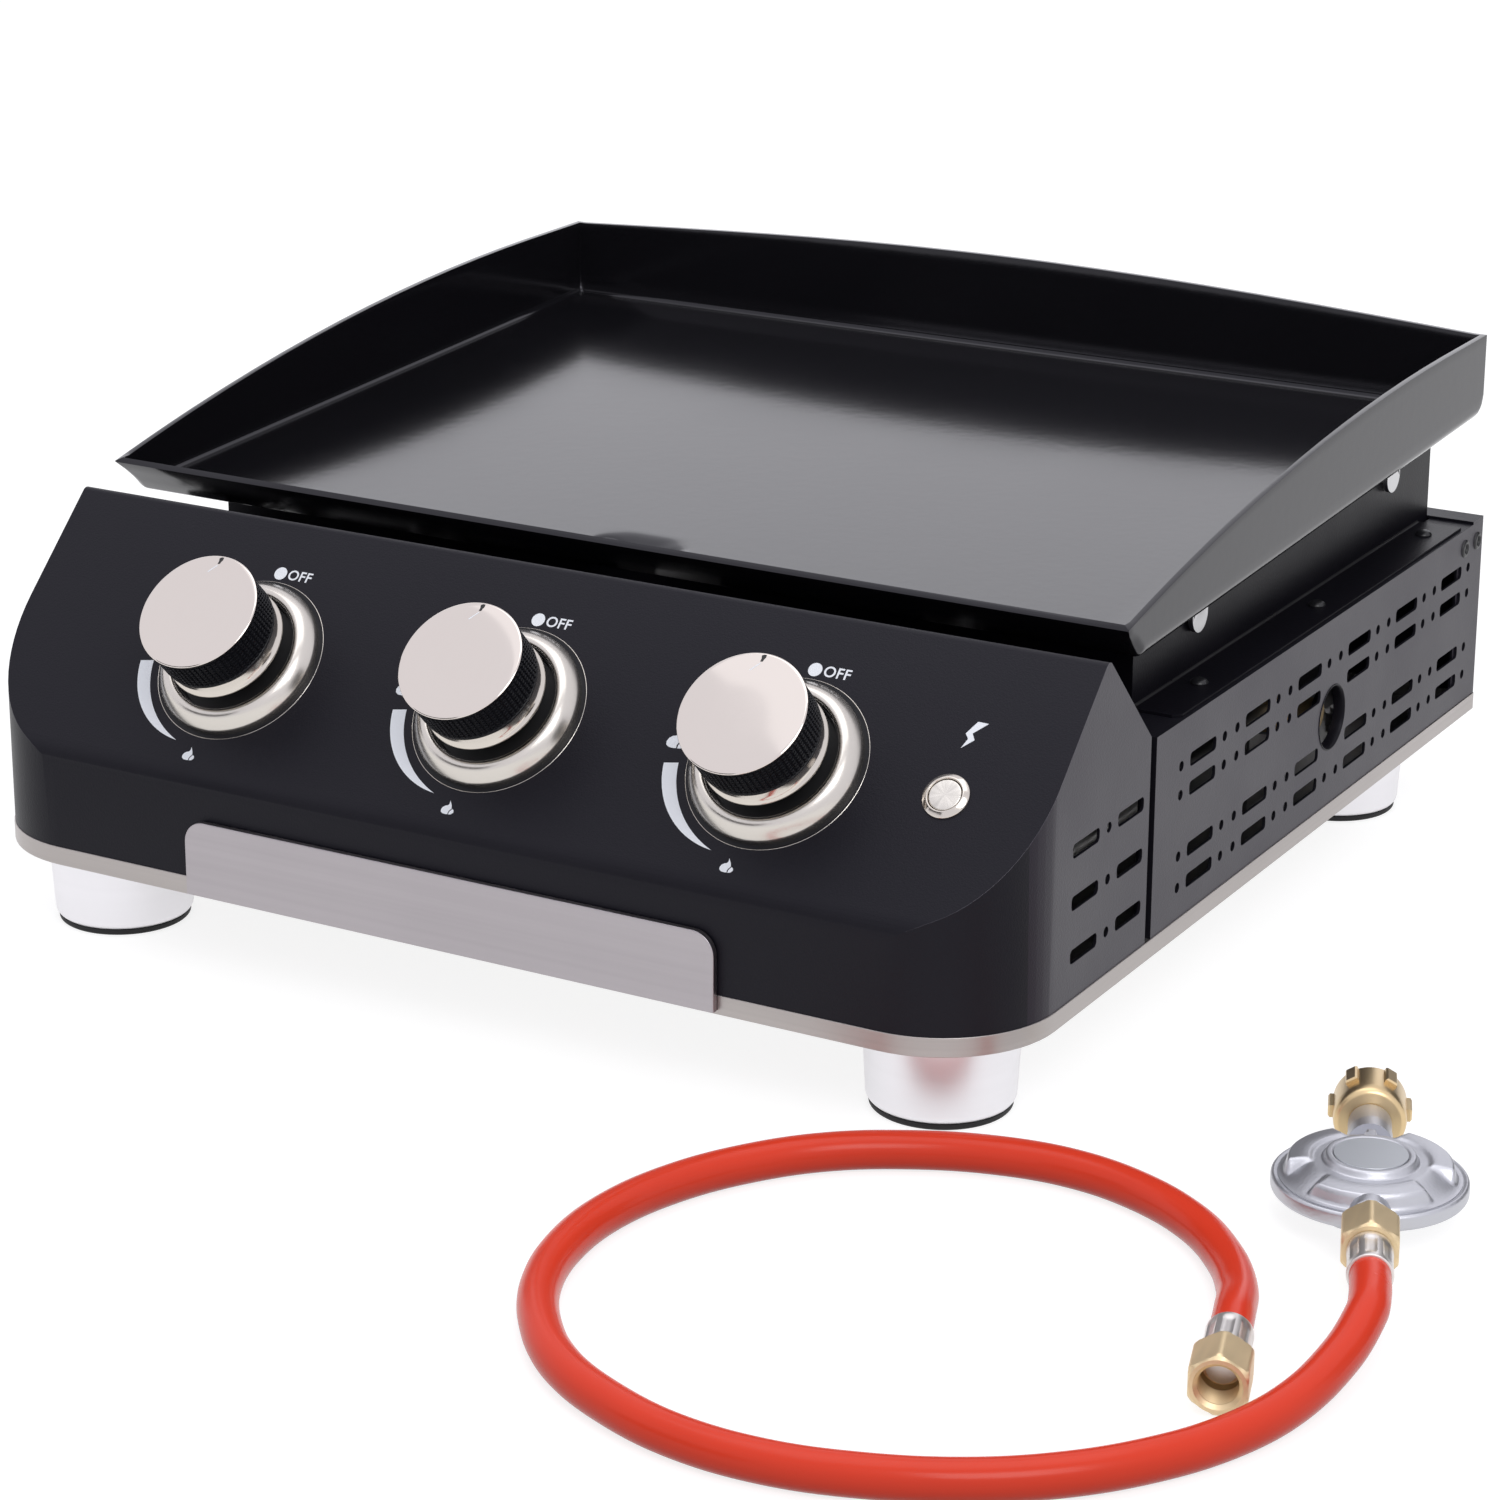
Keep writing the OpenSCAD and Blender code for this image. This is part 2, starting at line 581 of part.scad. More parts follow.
// Leads that run from the electrodes, under the firebox, and up to the back of the igniter
lead_r = 1.5;
lead_z = tub_z - 9;
module ignition_leads() color([0.1, 0.1, 0.1]) difference() {
    lead_runs();
    on_panel(igniter_x, igniter_s, -barrel_l - module_l) cylinder(r = igniter_r, h = module_l);
}
module lead_runs() let(y = electrode_y, up = hood_d - 26,
        d = barrel_l + module_l / 2, top = bend_z + igniter_s * sin(panel_deg) - d * cos(panel_deg)
            + igniter_r * sin(panel_deg),
        end = panel_inset + igniter_s * cos(panel_deg) + d * sin(panel_deg) + igniter_r * cos(panel_deg))
    behind(0) {
        for (x = knob_xs) rod([x + electrode_x, y, lead_z - lead_r], [x + electrode_x, y, tub_z - 6], lead_r, $fn = 16);
        rod([-pitch + electrode_x, y, lead_z], [igniter_x, y, lead_z], lead_r, $fn = 16);
        rod([igniter_x, y + lead_r, lead_z], [igniter_x, up, lead_z], lead_r, $fn = 16);
        rod([igniter_x, up, lead_z - lead_r], [igniter_x, up, top + lead_r], lead_r, $fn = 16);
        rod([igniter_x, up, top], [igniter_x, end - 1, top], lead_r, $fn = 16);
    }

// ---------- gas line ----------

// Depth below the panel, along a knob's axis, at which that axis meets the manifold
manifold_depth = (bend_z + knob_s * sin(panel_deg) - port_z) / cos(panel_deg);
manifold_y = panel_inset + knob_s * cos(panel_deg) + manifold_depth * sin(panel_deg);
elbow_r = 8;
pipe_x = tub_w / 2 + 13;
valve_r = 10.5;
valve_low = manifold_depth - manifold_r - 2;
outlet_depth = (bend_z + knob_s * sin(panel_deg) - burner_z) / cos(panel_deg);
outlet_y = panel_inset + knob_s * cos(panel_deg) + outlet_depth * sin(panel_deg);
chamber_r = stem_r + 2;
chamber = [-30.5, -16];
collar = [-22, -19];
jet_reach = 4;

module manifold() color(STEEL) translate([-pitch - 16, front_y + manifold_y, port_z]) to_right() {
    difference() {
        cylinder(r = manifold_r, h = pitch + 16 + pipe_x - 8);
        translate([0, 0, 2]) cylinder(r = manifold_r - 1.5, h = pitch + 12 + pipe_x - 8);
    }
    translate([0, 0, -3]) cylinder(r = manifold_r + 1.5, h = 3, $fn = 6);
}

module inlet_pipe() color(STEEL) difference() {
    union() {
        translate([pipe_x, front_y + manifold_y, port_z]) to_back()
            cylinder(r = pipe_r, h = port_y - manifold_y - 9);
        translate([pipe_x - 8, front_y + manifold_y - 7, port_z - elbow_r]) cube([14, 14, 2 * elbow_r]);
    }
    translate([pipe_x - 9, front_y + manifold_y, port_z]) to_right() cylinder(r = 3, h = 9);
}

// A folded bracket that carries the inlet's elbow
module inlet_bracket() color(STEEL) let(h = port_z - elbow_r - base_top)
    translate([pipe_x - 6, front_y + port_y - 9, base_top]) {
        cube([20, 18, sheet]);
        cube([sheet, 18, h]);
        translate([0, 0, h - sheet]) cube([12, 18, sheet]);
    }

// The elbow and its threaded inlet, which a hose nut screws onto through the port
inlet_tip = side_outer - 6;
module gas_inlet() color(BRASS) translate([0, front_y + port_y, port_z]) difference() {
    union() {
        translate([pipe_x - 6, -9, -elbow_r]) cube([12, 18, 2 * elbow_r]);
        translate([pipe_x + 6, 0, 0]) to_right() cylinder(r = 9.5, h = inlet_tip - inlet_l - pipe_x - 6, $fn = 6);
        translate([inlet_tip - inlet_l, 0, 0]) to_right() cylinder(r = inlet_r, h = inlet_l);
    }
    translate([pipe_x, 0, 0]) to_right() cylinder(r = 3, h = 40);
}

// A tap: its flange under the panel, the body, the saddle on the manifold and the gas jet
module valve(x) color(BRASS) difference() {
    union() {
        on_panel(x, knob_s, -sheet - 2) translate([-18, -18, 0]) cube([36, 36, 2]);
        on_panel(x, knob_s, -valve_low) cylinder(r = valve_r, h = valve_low - sheet - 2 + eps);
        on_panel(x, knob_s, -manifold_depth) cylinder(r = manifold_r - 1, h = manifold_depth - valve_low + eps);
        on_panel(x, knob_s, -sheet - eps) cylinder(r = stem_r + 4, h = sheet + 4);
        translate([x, front_y + outlet_y, burner_z]) to_back() cylinder(r = 5, h = mixer_y - outlet_y - 2);
        translate([x, front_y + outlet_y, burner_z]) to_back() cylinder(r = 3, h = mixer_y - outlet_y + jet_reach);
    }
    translate([x - 20, front_y + manifold_y, port_z]) to_right() cylinder(r = manifold_r, h = 40);
    on_panel(x, knob_s, chamber[0]) cylinder(r = chamber_r, h = chamber[1] - chamber[0]);
    on_panel(x, knob_s, chamber[1] - 1) cylinder(r = stem_r + fit, h = 30);
}
module valve_left() valve(-pitch);
module valve_middle() valve(0);
module valve_right() valve(pitch);

// ---------- knobs ----------

cap_z = knob_h - cap_t;
grip_z = cap_z - grip_h;
skirt_z = grip_z - skirt_h;
hub_r = knob_r - 5;
hub_z = skirt_z - 3;
stem_top = cap_z - 5;

module valve_stem(x) color(STEEL) on_panel(x, knob_s, 0) {
    translate([0, 0, collar[0] - 4]) cylinder(r = stem_r, h = stem_top - collar[0] + 4);
    translate([0, 0, collar[1] + fit]) cylinder(r = stem_r + 1, h = 2.4);
}
module stem_collar(x) color(BRASS) on_panel(x, knob_s, collar[0])
    ring(stem_r + fit, chamber_r - fit, collar[1] - collar[0]);

module knob_cap(x) color(STEEL) on_panel(x, knob_s, cap_z) difference() {
    rotate_extrude($fn = 96) polygon([[0, 0], [knob_r, 0], [knob_r, cap_t - knob_edge],
        [knob_r - knob_edge, cap_t], [0, cap_t]]);
    translate([-0.6, knob_r - 5.5, cap_t - 0.4]) cube([1.2, 4, 1]);
}
module knob_grip(x) color(BLACK) on_panel(x, knob_s, 0) difference() {
    union() {
        translate([0, 0, grip_z]) cylinder(r = knob_r - 0.3, h = grip_h, $fn = 96);
        translate([0, 0, hub_z]) cylinder(r = hub_r, h = grip_z - hub_z + eps, $fn = 64);
    }
    translate([0, 0, hub_z - 1]) cylinder(r = stem_r, h = stem_top - hub_z + 1);
    translate([0, 0, hub_z - 1]) ring(stem_r + 4, hub_r - 2.5, grip_z - hub_z + 6);
}
module knob_skirt(x) color(CHROME) on_panel(x, knob_s, skirt_z) rotate_extrude($fn = 96)
    polygon([[hub_r + fit, 0], [knob_r - 1.2, 0], [knob_r - 0.4, 0.8], [knob_r - 0.4, skirt_h],
        [hub_r + fit, skirt_h]]);

module knob_cap_left() knob_cap(-pitch);
module knob_cap_middle() knob_cap(0);
module knob_cap_right() knob_cap(pitch);
module knob_grip_left() knob_grip(-pitch);
module knob_grip_middle() knob_grip(0);
module knob_grip_right() knob_grip(pitch);
module knob_skirt_left() knob_skirt(-pitch);
module knob_skirt_middle() knob_skirt(0);
module knob_skirt_right() knob_skirt(pitch);
module valve_stem_left() valve_stem(-pitch);
module valve_stem_middle() valve_stem(0);
module valve_stem_right() valve_stem(pitch);
module stem_collar_left() stem_collar(-pitch);
module stem_collar_middle() stem_collar(0);
module stem_collar_right() stem_collar(pitch);

// A pressed ring with a lip, a rim that rises inwards, and a well round the knob
bezel_t = 1;
bezel_crown = 0.9;
module bezel(x) color(CHROME) on_panel(x, knob_s) rotate_extrude($fn = 96)
    let(out = bezel_r - 1.4, low = bezel_h * 0.48, n = 6,
        rim = [for (i = [0:n]) let(t = i / n)
            [out + (bezel_in_r - out) * t, low + (bezel_h - low) * t + bezel_crown * sin(180 * t)]])
    polygon(concat([[bezel_r, 0], [bezel_r, 0.8], [out, 1.4]], rim,
        [[bezel_in_r - 0.6, bezel_h - 0.6], [bezel_in_r - 0.6, bezel_t], [stem_r + 6, bezel_t],
         [stem_r + 6, 0], [bezel_in_r + bezel_t, 0], [bezel_in_r + bezel_t, bezel_h - 1.5],
         [out - bezel_t, low - 1], [out - bezel_t, 0]]));
module bezel_left() bezel(-pitch);
module bezel_middle() bezel(0);
module bezel_right() bezel(pitch);

// ---------- igniter ----------

ring_h = 2;
barrel_l = 20;
module_l = 22;

module igniter_ring() color(CHROME) on_panel(igniter_x, igniter_s) {
    rotate_extrude($fn = 64) polygon([[button_r + fit, 0], [igniter_r, 0], [igniter_r, 0.7],
        [igniter_r - 1.5, ring_h], [button_r + fit, ring_h]]);
    translate([0, 0, -barrel_l]) ring(button_r + fit, barrel_r, barrel_l + eps);
    translate([0, 0, -sheet - 3]) ring(barrel_r - eps, barrel_r + 3, 3);
}
module igniter_module() color(BLACK) on_panel(igniter_x, igniter_s, -barrel_l - module_l) {
    cylinder(r = igniter_r, h = module_l);
    translate([0, 0, module_l - eps]) cylinder(r = button_r - 0.3, h = 6);
}
module igniter_button() color(STEEL) on_panel(igniter_x, igniter_s, -8)
    cylinder(r = button_r, h = 8 + ring_h - 0.3);

// ---------- griddle ----------

pan_back = pan_y + pan_d;
bend_p = [pan_y, pan_z];
tip_p = [pan_y - lip_rise, pan_z + lip_rise];
rear_p = [pan_back, pan_under(pan_back)];
wall_top = pan_z + wall_rise;
curve_y = pan_back - 41;
lip_in = bend_p + pan_t * (unit([1, 1]) + unit([-tan(pan_fall), 1])) / (1 + unit([1, 1]) * unit([-tan(pan_fall), 1]));

// The pan's outline from the side, outside (i = 0) or inside its sheet
module pan_profile(i) polygon(i > 0
    ? [tip_p + [pan_t * sqrt(2), 0] + [-4 * past, 4 * past], lip_in,
       [pan_back - pan_t, pan_under(pan_back - pan_t) + pan_t / cos(pan_fall)],
       [pan_back - pan_t, wall_top + 5 * past]]
    : [tip_p + [-4 * past, 4 * past], bend_p, rear_p, [pan_back, wall_top + 4 * past]]);

// The pan's outline from the front, with rounded bottom corners, run along the sloping floor
module pan_section(i) translate([0, front_y + pan_y, pan_z]) rotate([pan_fall, 0, 0])
    translate([0, -4 * past, i]) rotate([90, 0, 0]) mirror([0, 0, 1])
    linear_extrude(pan_d + 8 * past) let(w = pan_w / 2 - i, r = pan_bend_r - i, h = 2 * wall_rise)
        polygon(concat([[w, h], [-w, h]], bend([-w, h], [-w, 0], [0, 0], r, 8), bend([0, 0], [w, 0], [w, h], r, 8)));

// The curved top edge of the side walls, and the arched top edge of the back wall
module wall_tops() {
    behind(0) across(pan_w + 2) polygon(concat([[tip_p[0] - 1, 0]],
        [for (i = [0:24]) let(y = tip_p[0] - 1 + (curve_y - tip_p[0] + 1) * i / 24, d = curve_y - y)
            [y, wall_top - wall_curve_r + sqrt(wall_curve_r * wall_curve_r - d * d)]],
        [[pan_back - pan_t, wall_top], [pan_back - pan_t, 0]]));
    translate([0, back_y, 0]) rotate([90, 0, 0]) linear_extrude(back_y - front_y - pan_back + pan_t)
        let(w = pan_w - 4 * pan_t, end = pan_w / 2 + 1) polygon(concat([[-end, 0], [-end, wall_top]],
            [for (i = [0:24]) let(x = w * (i / 24 - 0.5)) [x, wall_top + back_arch * cos(180 * x / w)]],
            [[end, wall_top], [end, 0]]));
}

module griddle_plate() color(ENAMEL) difference() {
    intersection() {
        behind(0) across(pan_w) pan_profile(0);
        pan_section(0);
        wall_tops();
    }
    intersection() {
        behind(0) across(pan_w) pan_profile(pan_t);
        pan_section(pan_t);
    }
    translate([0, front_y + drain_y, pan_z - past]) linear_extrude(4 * past) rounded(drain_l, drain_w, drain_r);
}

lug_x = fire_w / 2 + lug_gap;
lug_t = 2;
lug_ys = [206, 404];
module locating_lugs() color(STEEL) for (x = [-1, 1], y = lug_ys)
    translate([x * (lug_x + lug_t / 2), 0, 0]) {
        behind(0) across(lug_t) difference() {
            union() {
                translate([y - lug_w / 2, pan_under(y) - lug_h + lug_w / 2]) square([lug_w, lug_h]);
                translate([y, pan_under(y) - lug_h + lug_w / 2]) circle(lug_w / 2, $fn = 32);
            }
            translate([0, pan_z - pan_y * tan(pan_fall)]) rotate(pan_fall) square([2 * body_d, 4 * past]);
        }
        behind(y) translate([x * lug_t / 2, 0, pan_under(y) - lug_h * 0.55]) rotate([90, 0, 0])
            linear_extrude(1.6, center = true) polygon([[-x * eps, 0], [x * 3, lug_h * 0.55 - 0.1],
                [-x * eps, lug_h * 0.55 - 0.1]]);
    }

// ---------- grease tray ----------

plate_t = 1.2;
plate_z = trim_top - 6;
tray_front_y = -plate_out + plate_t;
runner_z = tray_z + tray_h - tray_t - seat;

module drip_tray() color(STEEL) behind(tray_front_y, tray_z) {
    difference() {
        translate([-tray_w / 2, 0, 0]) cube([tray_w, tray_d, tray_h]);
        translate([-tray_w / 2 + tray_t, tray_t, tray_t]) cube([tray_w - 2 * tray_t, tray_d - 2 * tray_t, tray_h]);
    }
    for (x = [-tray_w / 2 - tray_lip, tray_w / 2 - eps]) translate([x, 0, tray_h - tray_t])
        cube([tray_lip + eps, tray_d, tray_t]);
}

// The front plate: a flat face with rounded top corners and shallow folded sides
module plate_outline(i) {
    translate([-plate_w / 2 + i, 0]) square([plate_w - 2 * i, plate_h - plate_r]);
    translate([-plate_w / 2 + plate_r, 0]) square([plate_w - 2 * plate_r, plate_h - i]);
    for (x = [-1, 1]) translate([x * (plate_w / 2 - plate_r), plate_h - plate_r]) circle(plate_r - i, $fn = 48);
}
module tray_front() color(STEEL) translate([0, front_y - plate_out, plate_z]) rotate([90, 0, 0]) mirror([0, 0, 1])
    difference() {
        linear_extrude(plate_out - seat) plate_outline(0);
        translate([0, -eps, plate_t]) linear_extrude(plate_out) plate_outline(plate_t);
    }

module tray_runners() color(STEEL) for (x = [-1, 1]) {
    translate([x * (tray_w / 2 + tray_lip + 2) - sheet / 2, front_y + 8, base_top])
        cube([sheet, tray_d - 12, runner_z - base_top]);
    translate([x * (tray_w / 2 + tray_lip / 2 + 1.5) - (tray_lip - 1) / 2 - 0.5, front_y + 8, runner_z - sheet])
        cube([tray_lip, tray_d - 12, sheet]);
    translate([x * (tray_w / 2 + tray_lip + 6) - 4, front_y + 8, base_top]) cube([8, tray_d - 12, sheet]);
}

// ---------- hose set ----------

// The set lies flat in front of the griddle's right-hand corner, turned towards the viewer.
hose_at = [250, -116];
hose_turn = 30;
// The hose's centreline in the set's own frame, from the free nut to the regulator
hose_route = [[107, -34, 11], [110, -20, 11], [113.5, 2, 8.5], [112.5, 28, 7], [105, 54, 7],
    [89, 79, 7], [67, 98, 7], [40, 109, 7], [11, 113, 7], [-18, 111, 7], [-46, 101, 7],
    [-71, 85, 7], [-92, 63, 7], [-106, 37, 7], [-113, 8, 7], [-112, -21, 7], [-104, -49, 7],
    [-88, -74, 7], [-67, -95, 7], [-41, -110, 7], [-13, -118, 7], [17, -121, 7], [46, -118, 7],
    [74, -109, 7], [100, -94, 7], [122, -74, 8], [140, -49, 11], [151, -27, 14.5],
    [154, -15, 15], [156, -1, 15]];
hose_sides = 10;
nut_bore_r = inlet_r + 0.02;
tail_r = 5;
tail_l = 7;
nut_wall = 4;
tongue_r = 5.9;

module hose_frame() translate([hose_at[0], front_y + hose_at[1], 0]) rotate([0, 0, hose_turn]) children();

function way(i) = let(n = len(hose_route) - 1)
    unit(i == 0 ? hose_route[1] - hose_route[0] : i == n ? hose_route[n] - hose_route[n - 1]
        : unit(hose_route[i + 1] - hose_route[i]) + unit(hose_route[i] - hose_route[i - 1]));
function ring_at(i) = let(t = way(i), s = unit(cross([0, 0, 1], t)), u = cross(t, s))
    [for (k = [0:hose_sides - 1]) let(a = 360 * (k + 0.5) / hose_sides)
        hose_route[i] + hose_r * (cos(a) * s + sin(a) * u)];
hose_rings = len(hose_route);
hose_points = [for (i = [0:hose_rings - 1]) each ring_at(i)];
function wrap(i, k) = i * hose_sides + k % hose_sides;
hose_faces = concat(
    [for (i = [0:hose_rings - 2], k = [0:hose_sides - 1]) each
        [[wrap(i, k), wrap(i, k + 1), wrap(i + 1, k + 1)], [wrap(i, k), wrap(i + 1, k + 1), wrap(i + 1, k)]]],
    [for (k = [1:hose_sides - 2]) [0, wrap(0, k + 1), wrap(0, k)]],
    [for (k = [1:hose_sides - 2]) let(e = hose_rings - 1) [wrap(e, 0), wrap(e, k), wrap(e, k + 1)]]);

// Stands children on an end of the hose, with +Z pointing away from the hose
module at_free_end(z = 0) hose_frame() translate(hose_route[0])
    rotate([0, 90, atan2(-way(0)[1], -way(0)[0])]) rotate([0, 0, 90]) translate([0, 0, z]) children();
module at_regulator_end(z = 0) hose_frame() translate(hose_route[hose_rings - 1])
    rotate([0, 90, atan2(way(hose_rings - 1)[1], way(hose_rings - 1)[0])]) rotate([0, 0, 90])
    translate([0, 0, z]) children();

module hose() color(HOSE_RED) hose_frame() polyhedron(hose_points, hose_faces);

// A ferrule with its crimps, and the tail that the hose nut turns on
module ferrule() {
    difference() {
        cylinder(r = ferrule_r, h = ferrule_l);
        for (a = [0:45:315]) rotate([0, 0, a]) translate([ferrule_r + 0.9, 0, 3]) cylinder(r = 1.5, h = ferrule_l - 6, $fn = 16);
    }
    translate([0, 0, ferrule_l - eps]) cylinder(r = tail_r, h = tail_l + eps);
    translate([0, 0, ferrule_l + nut_wall + 0.4]) cylinder(r = tongue_r, h = tail_l - nut_wall - 0.4);
}
module hose_ferrules() color(ZINC) {
    at_free_end() ferrule();
    at_regulator_end() ferrule();
}

// A hexagon nut with chamfered corners: a rear wall round the tail, and the threaded socket
module hose_nut() difference() {
    intersection() {
        cylinder(r = nut_af / sqrt(3), h = nut_l, $fn = 6);
        rotate_extrude($fn = 48) polygon([[0, 0], [nut_af / 2, 0], [nut_af / sqrt(3) + eps, 1.6],
            [nut_af / sqrt(3) + eps, nut_l - 1.6], [nut_af / 2, nut_l], [0, nut_l]]);
    }
    translate([0, 0, -1]) cylinder(r = tail_r + fit, h = nut_l);
    translate([0, 0, nut_wall]) cylinder(r = nut_bore_r, h = nut_l);
}
module inlet_nut() color(BRASS) at_free_end(ferrule_l + 0.2) hose_nut();
module regulator_nut() color(BRASS) at_regulator_end(ferrule_l + 0.2) hose_nut();

// Distances along the regulator's pipe line, from the hose's end
reg_in = ferrule_l + tail_l + 0.2;
disc_at = ferrule_l + nut_l + 5 + reg_r;
bottle_at = disc_at + reg_r + 12;
neck_r = 7.8;
reg_back = reg_z;
reg_top = 16;

module regulator_body() color(ZINC) {
    at_regulator_end(reg_in) cylinder(r = inlet_r, h = disc_at - reg_in);
    at_regulator_end(disc_at) {
        cylinder(r = neck_r, h = reg_r + 12);
        rotate([-90, 0, 0]) rotate_extrude($fn = 96) polygon([[0, -reg_back], [14, -reg_back],
            [17, -reg_back + 2], [21, -6], [29, -reg_rim], [reg_r, -reg_rim], [reg_r, 0], [0, 0]]);
    }
}
module regulator_cover() color(ZINC) difference() {
    at_regulator_end(disc_at) rotate([-90, 0, 0]) rotate_extrude($fn = 96) polygon(concat([[0, 0],
        [reg_r, 0], [reg_r, 1.2], [reg_r - 2.4, 1.8], [reg_r - 3.2, 1.2]],
        [for (i = [0:5]) let(t = i / 5) [reg_r - 4 - 13 * t, 2.5 + (reg_top - 9) * sin(90 * t)]],
        [[15, reg_top - 6.5], [14.4, reg_top - 5.6], [0, reg_top - 5.6]]));
    at_regulator_end(reg_in) cylinder(r = inlet_r, h = disc_at - reg_in);
    at_regulator_end(disc_at) cylinder(r = neck_r, h = reg_r + 12);
}

bottle_bore_r = 10.9;
bottle_wall = 5;
nipple_r = 3.5;
module bottle_nut() color(BRASS) at_regulator_end(bottle_at + 0.2) difference() {
    union() {
        rotate_extrude($fn = 64) polygon([[0, 0], [bottle_r - 1, 0], [bottle_r, 1], [bottle_r, bottle_l - 1],
            [bottle_r - 1, bottle_l], [0, bottle_l]]);
        for (a = [0:60:300]) rotate([0, 0, a]) translate([bottle_r - 1, -2.5, bottle_l - 13]) cube([2.8, 5, 11]);
    }
    translate([0, 0, -1]) cylinder(r = tail_r + fit, h = bottle_l);
    translate([0, 0, bottle_wall]) cylinder(r = bottle_bore_r, h = bottle_l);
}
module bottle_nipple() color(BRASS) at_regulator_end(bottle_at) {
    cylinder(r = tail_r, h = bottle_wall + 4);
    translate([0, 0, bottle_wall + 0.6]) cylinder(r = tail_r + 1, h = 3);
    cylinder(r = nipple_r, h = bottle_l + 8);
}

base_pan();
trim_band();
front_housing();
side_panel_left();
side_panel_right();
back_panel();
panel_rivets();
firebox();
firebox_screws();
drip_guard();
burner_left();
burner_middle();
burner_right();
electrodes();
ignition_leads();
manifold();
valve_left();
valve_middle();
valve_right();
gas_inlet();
inlet_pipe();
inlet_bracket();
igniter_ring();
igniter_module();
igniter_button();
bezel_left();
bezel_middle();
bezel_right();
knob_cap_left();
knob_cap_middle();
knob_cap_right();
knob_grip_left();
knob_grip_middle();
knob_grip_right();
knob_skirt_left();
knob_skirt_middle();
knob_skirt_right();
valve_stem_left();
valve_stem_middle();
valve_stem_right();
stem_collar_left();
stem_collar_middle();
stem_collar_right();
griddle_plate();
locating_lugs();
drip_tray();
tray_front();
tray_runners();
foot_cups();
foot_pads();
foot_bolts();
hose();
hose_ferrules();
inlet_nut();
regulator_nut();
regulator_body();
regulator_cover();
bottle_nut();
bottle_nipple();
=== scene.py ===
"""Dresses a tabletop gas griddle, its knobs, grease tray and loose gas hose."""

from __future__ import annotations

import json
import logging
import math
from collections.abc import Callable, Iterable, Sequence
from dataclasses import dataclass, field, replace
from enum import Enum

import bmesh
import bpy
from mathutils import Matrix, Quaternion, Vector


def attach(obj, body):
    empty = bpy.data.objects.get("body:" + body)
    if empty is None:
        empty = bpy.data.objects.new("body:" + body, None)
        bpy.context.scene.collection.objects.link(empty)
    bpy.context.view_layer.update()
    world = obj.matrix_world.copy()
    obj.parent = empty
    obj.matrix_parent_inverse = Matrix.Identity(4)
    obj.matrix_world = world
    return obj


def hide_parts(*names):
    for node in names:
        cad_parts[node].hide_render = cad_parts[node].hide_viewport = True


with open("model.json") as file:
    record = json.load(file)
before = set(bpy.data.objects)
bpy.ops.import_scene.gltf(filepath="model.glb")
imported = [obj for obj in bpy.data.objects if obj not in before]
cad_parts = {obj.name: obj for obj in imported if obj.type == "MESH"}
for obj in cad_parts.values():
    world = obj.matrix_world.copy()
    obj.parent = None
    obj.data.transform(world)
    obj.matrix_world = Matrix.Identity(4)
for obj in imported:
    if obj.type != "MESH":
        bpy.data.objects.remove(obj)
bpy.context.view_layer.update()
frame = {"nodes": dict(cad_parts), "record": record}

log = logging.getLogger("griddle")

Pair = tuple[float, float]
Point = tuple[float, float, float]
Colour = tuple[float, float, float]
Face = tuple[int, ...]
Mesh = bpy.types.Mesh
Object = bpy.types.Object
Material = bpy.types.Material
Node = bpy.types.Node
NodeTree = bpy.types.NodeTree
NodeSocket = bpy.types.NodeSocket
FLOAT, VECTOR = "NodeSocketFloat", "NodeSocketVector"
MM = 0.001
WHITE = (1.0, 1.0, 1.0, 1.0)


# ---------------- Blender tools


def in_scene(name: str, data: bpy.types.ID) -> Object:
    """A new object in the scene's collection.

    Args:
        name: the object's name.
        data: its mesh, curve, lamp or camera.

    Returns:
        The object.
    """
    made = bpy.data.objects.new(name, data)
    bpy.context.scene.collection.objects.link(made)
    return made


def set_inputs(node: Node, values: dict[str, object]) -> None:
    """Sets a node's own sockets, by name."""
    for name, value in values.items():
        node.inputs[name].default_value = value


def math_node(tree: NodeTree, operation: str, *values: object) -> NodeSocket:
    """A math node in a tree.

    Args:
        tree: the tree.
        operation: what the node does.
        values: a socket or a number for each of its inputs.

    Returns:
        Its result.
    """
    node = tree.nodes.new("ShaderNodeMath")
    node.operation = operation
    for socket, value in zip(node.inputs, values):
        if isinstance(value, NodeSocket):
            tree.links.new(value, socket)
        else:
            socket.default_value = value
    return node.outputs[0]


# ---------------- sizes


@dataclass(frozen=True)
class Layout:
    """Where the griddle's parts stand, in metres. The front is the trim's front face."""

    front: float = -0.231314
    half_width: float = 0.230
    panel_inset: float = 0.0004
    panel_tilt: float = math.radians(44)
    panel_foot: float = 0.0827
    knob_up: float = 0.0539
    pitch: float = 0.120
    igniter: Pair = (0.189, 0.0535)

    def behind(self, distance: float) -> float:
        """The Y of a place at a distance behind the front."""
        return self.front + distance

    def on_panel(self, across: float, up: float, out: float = 0.0) -> Matrix:
        """The frame of a spot on the control panel: X across, Y up the slope, Z outwards.

        Args:
            across: distance to the right of the middle.
            up: distance up the slope from the panel's lower edge.
            out: height above the panel's face.

        Returns:
            The matrix that carries a piece from its own frame to that spot.
        """
        c, s = math.cos(self.panel_tilt), math.sin(self.panel_tilt)
        spot = Vector((across, self.front + self.panel_inset + up * c - out * s, self.panel_foot + up * s + out * c))
        return Matrix.Translation(spot) @ Matrix.Rotation(self.panel_tilt, 4, "X")


LAYOUT = Layout()
SIDES: dict[str, float] = {"left": -LAYOUT.pitch, "middle": 0.0, "right": LAYOUT.pitch}


# ---------------- finishes


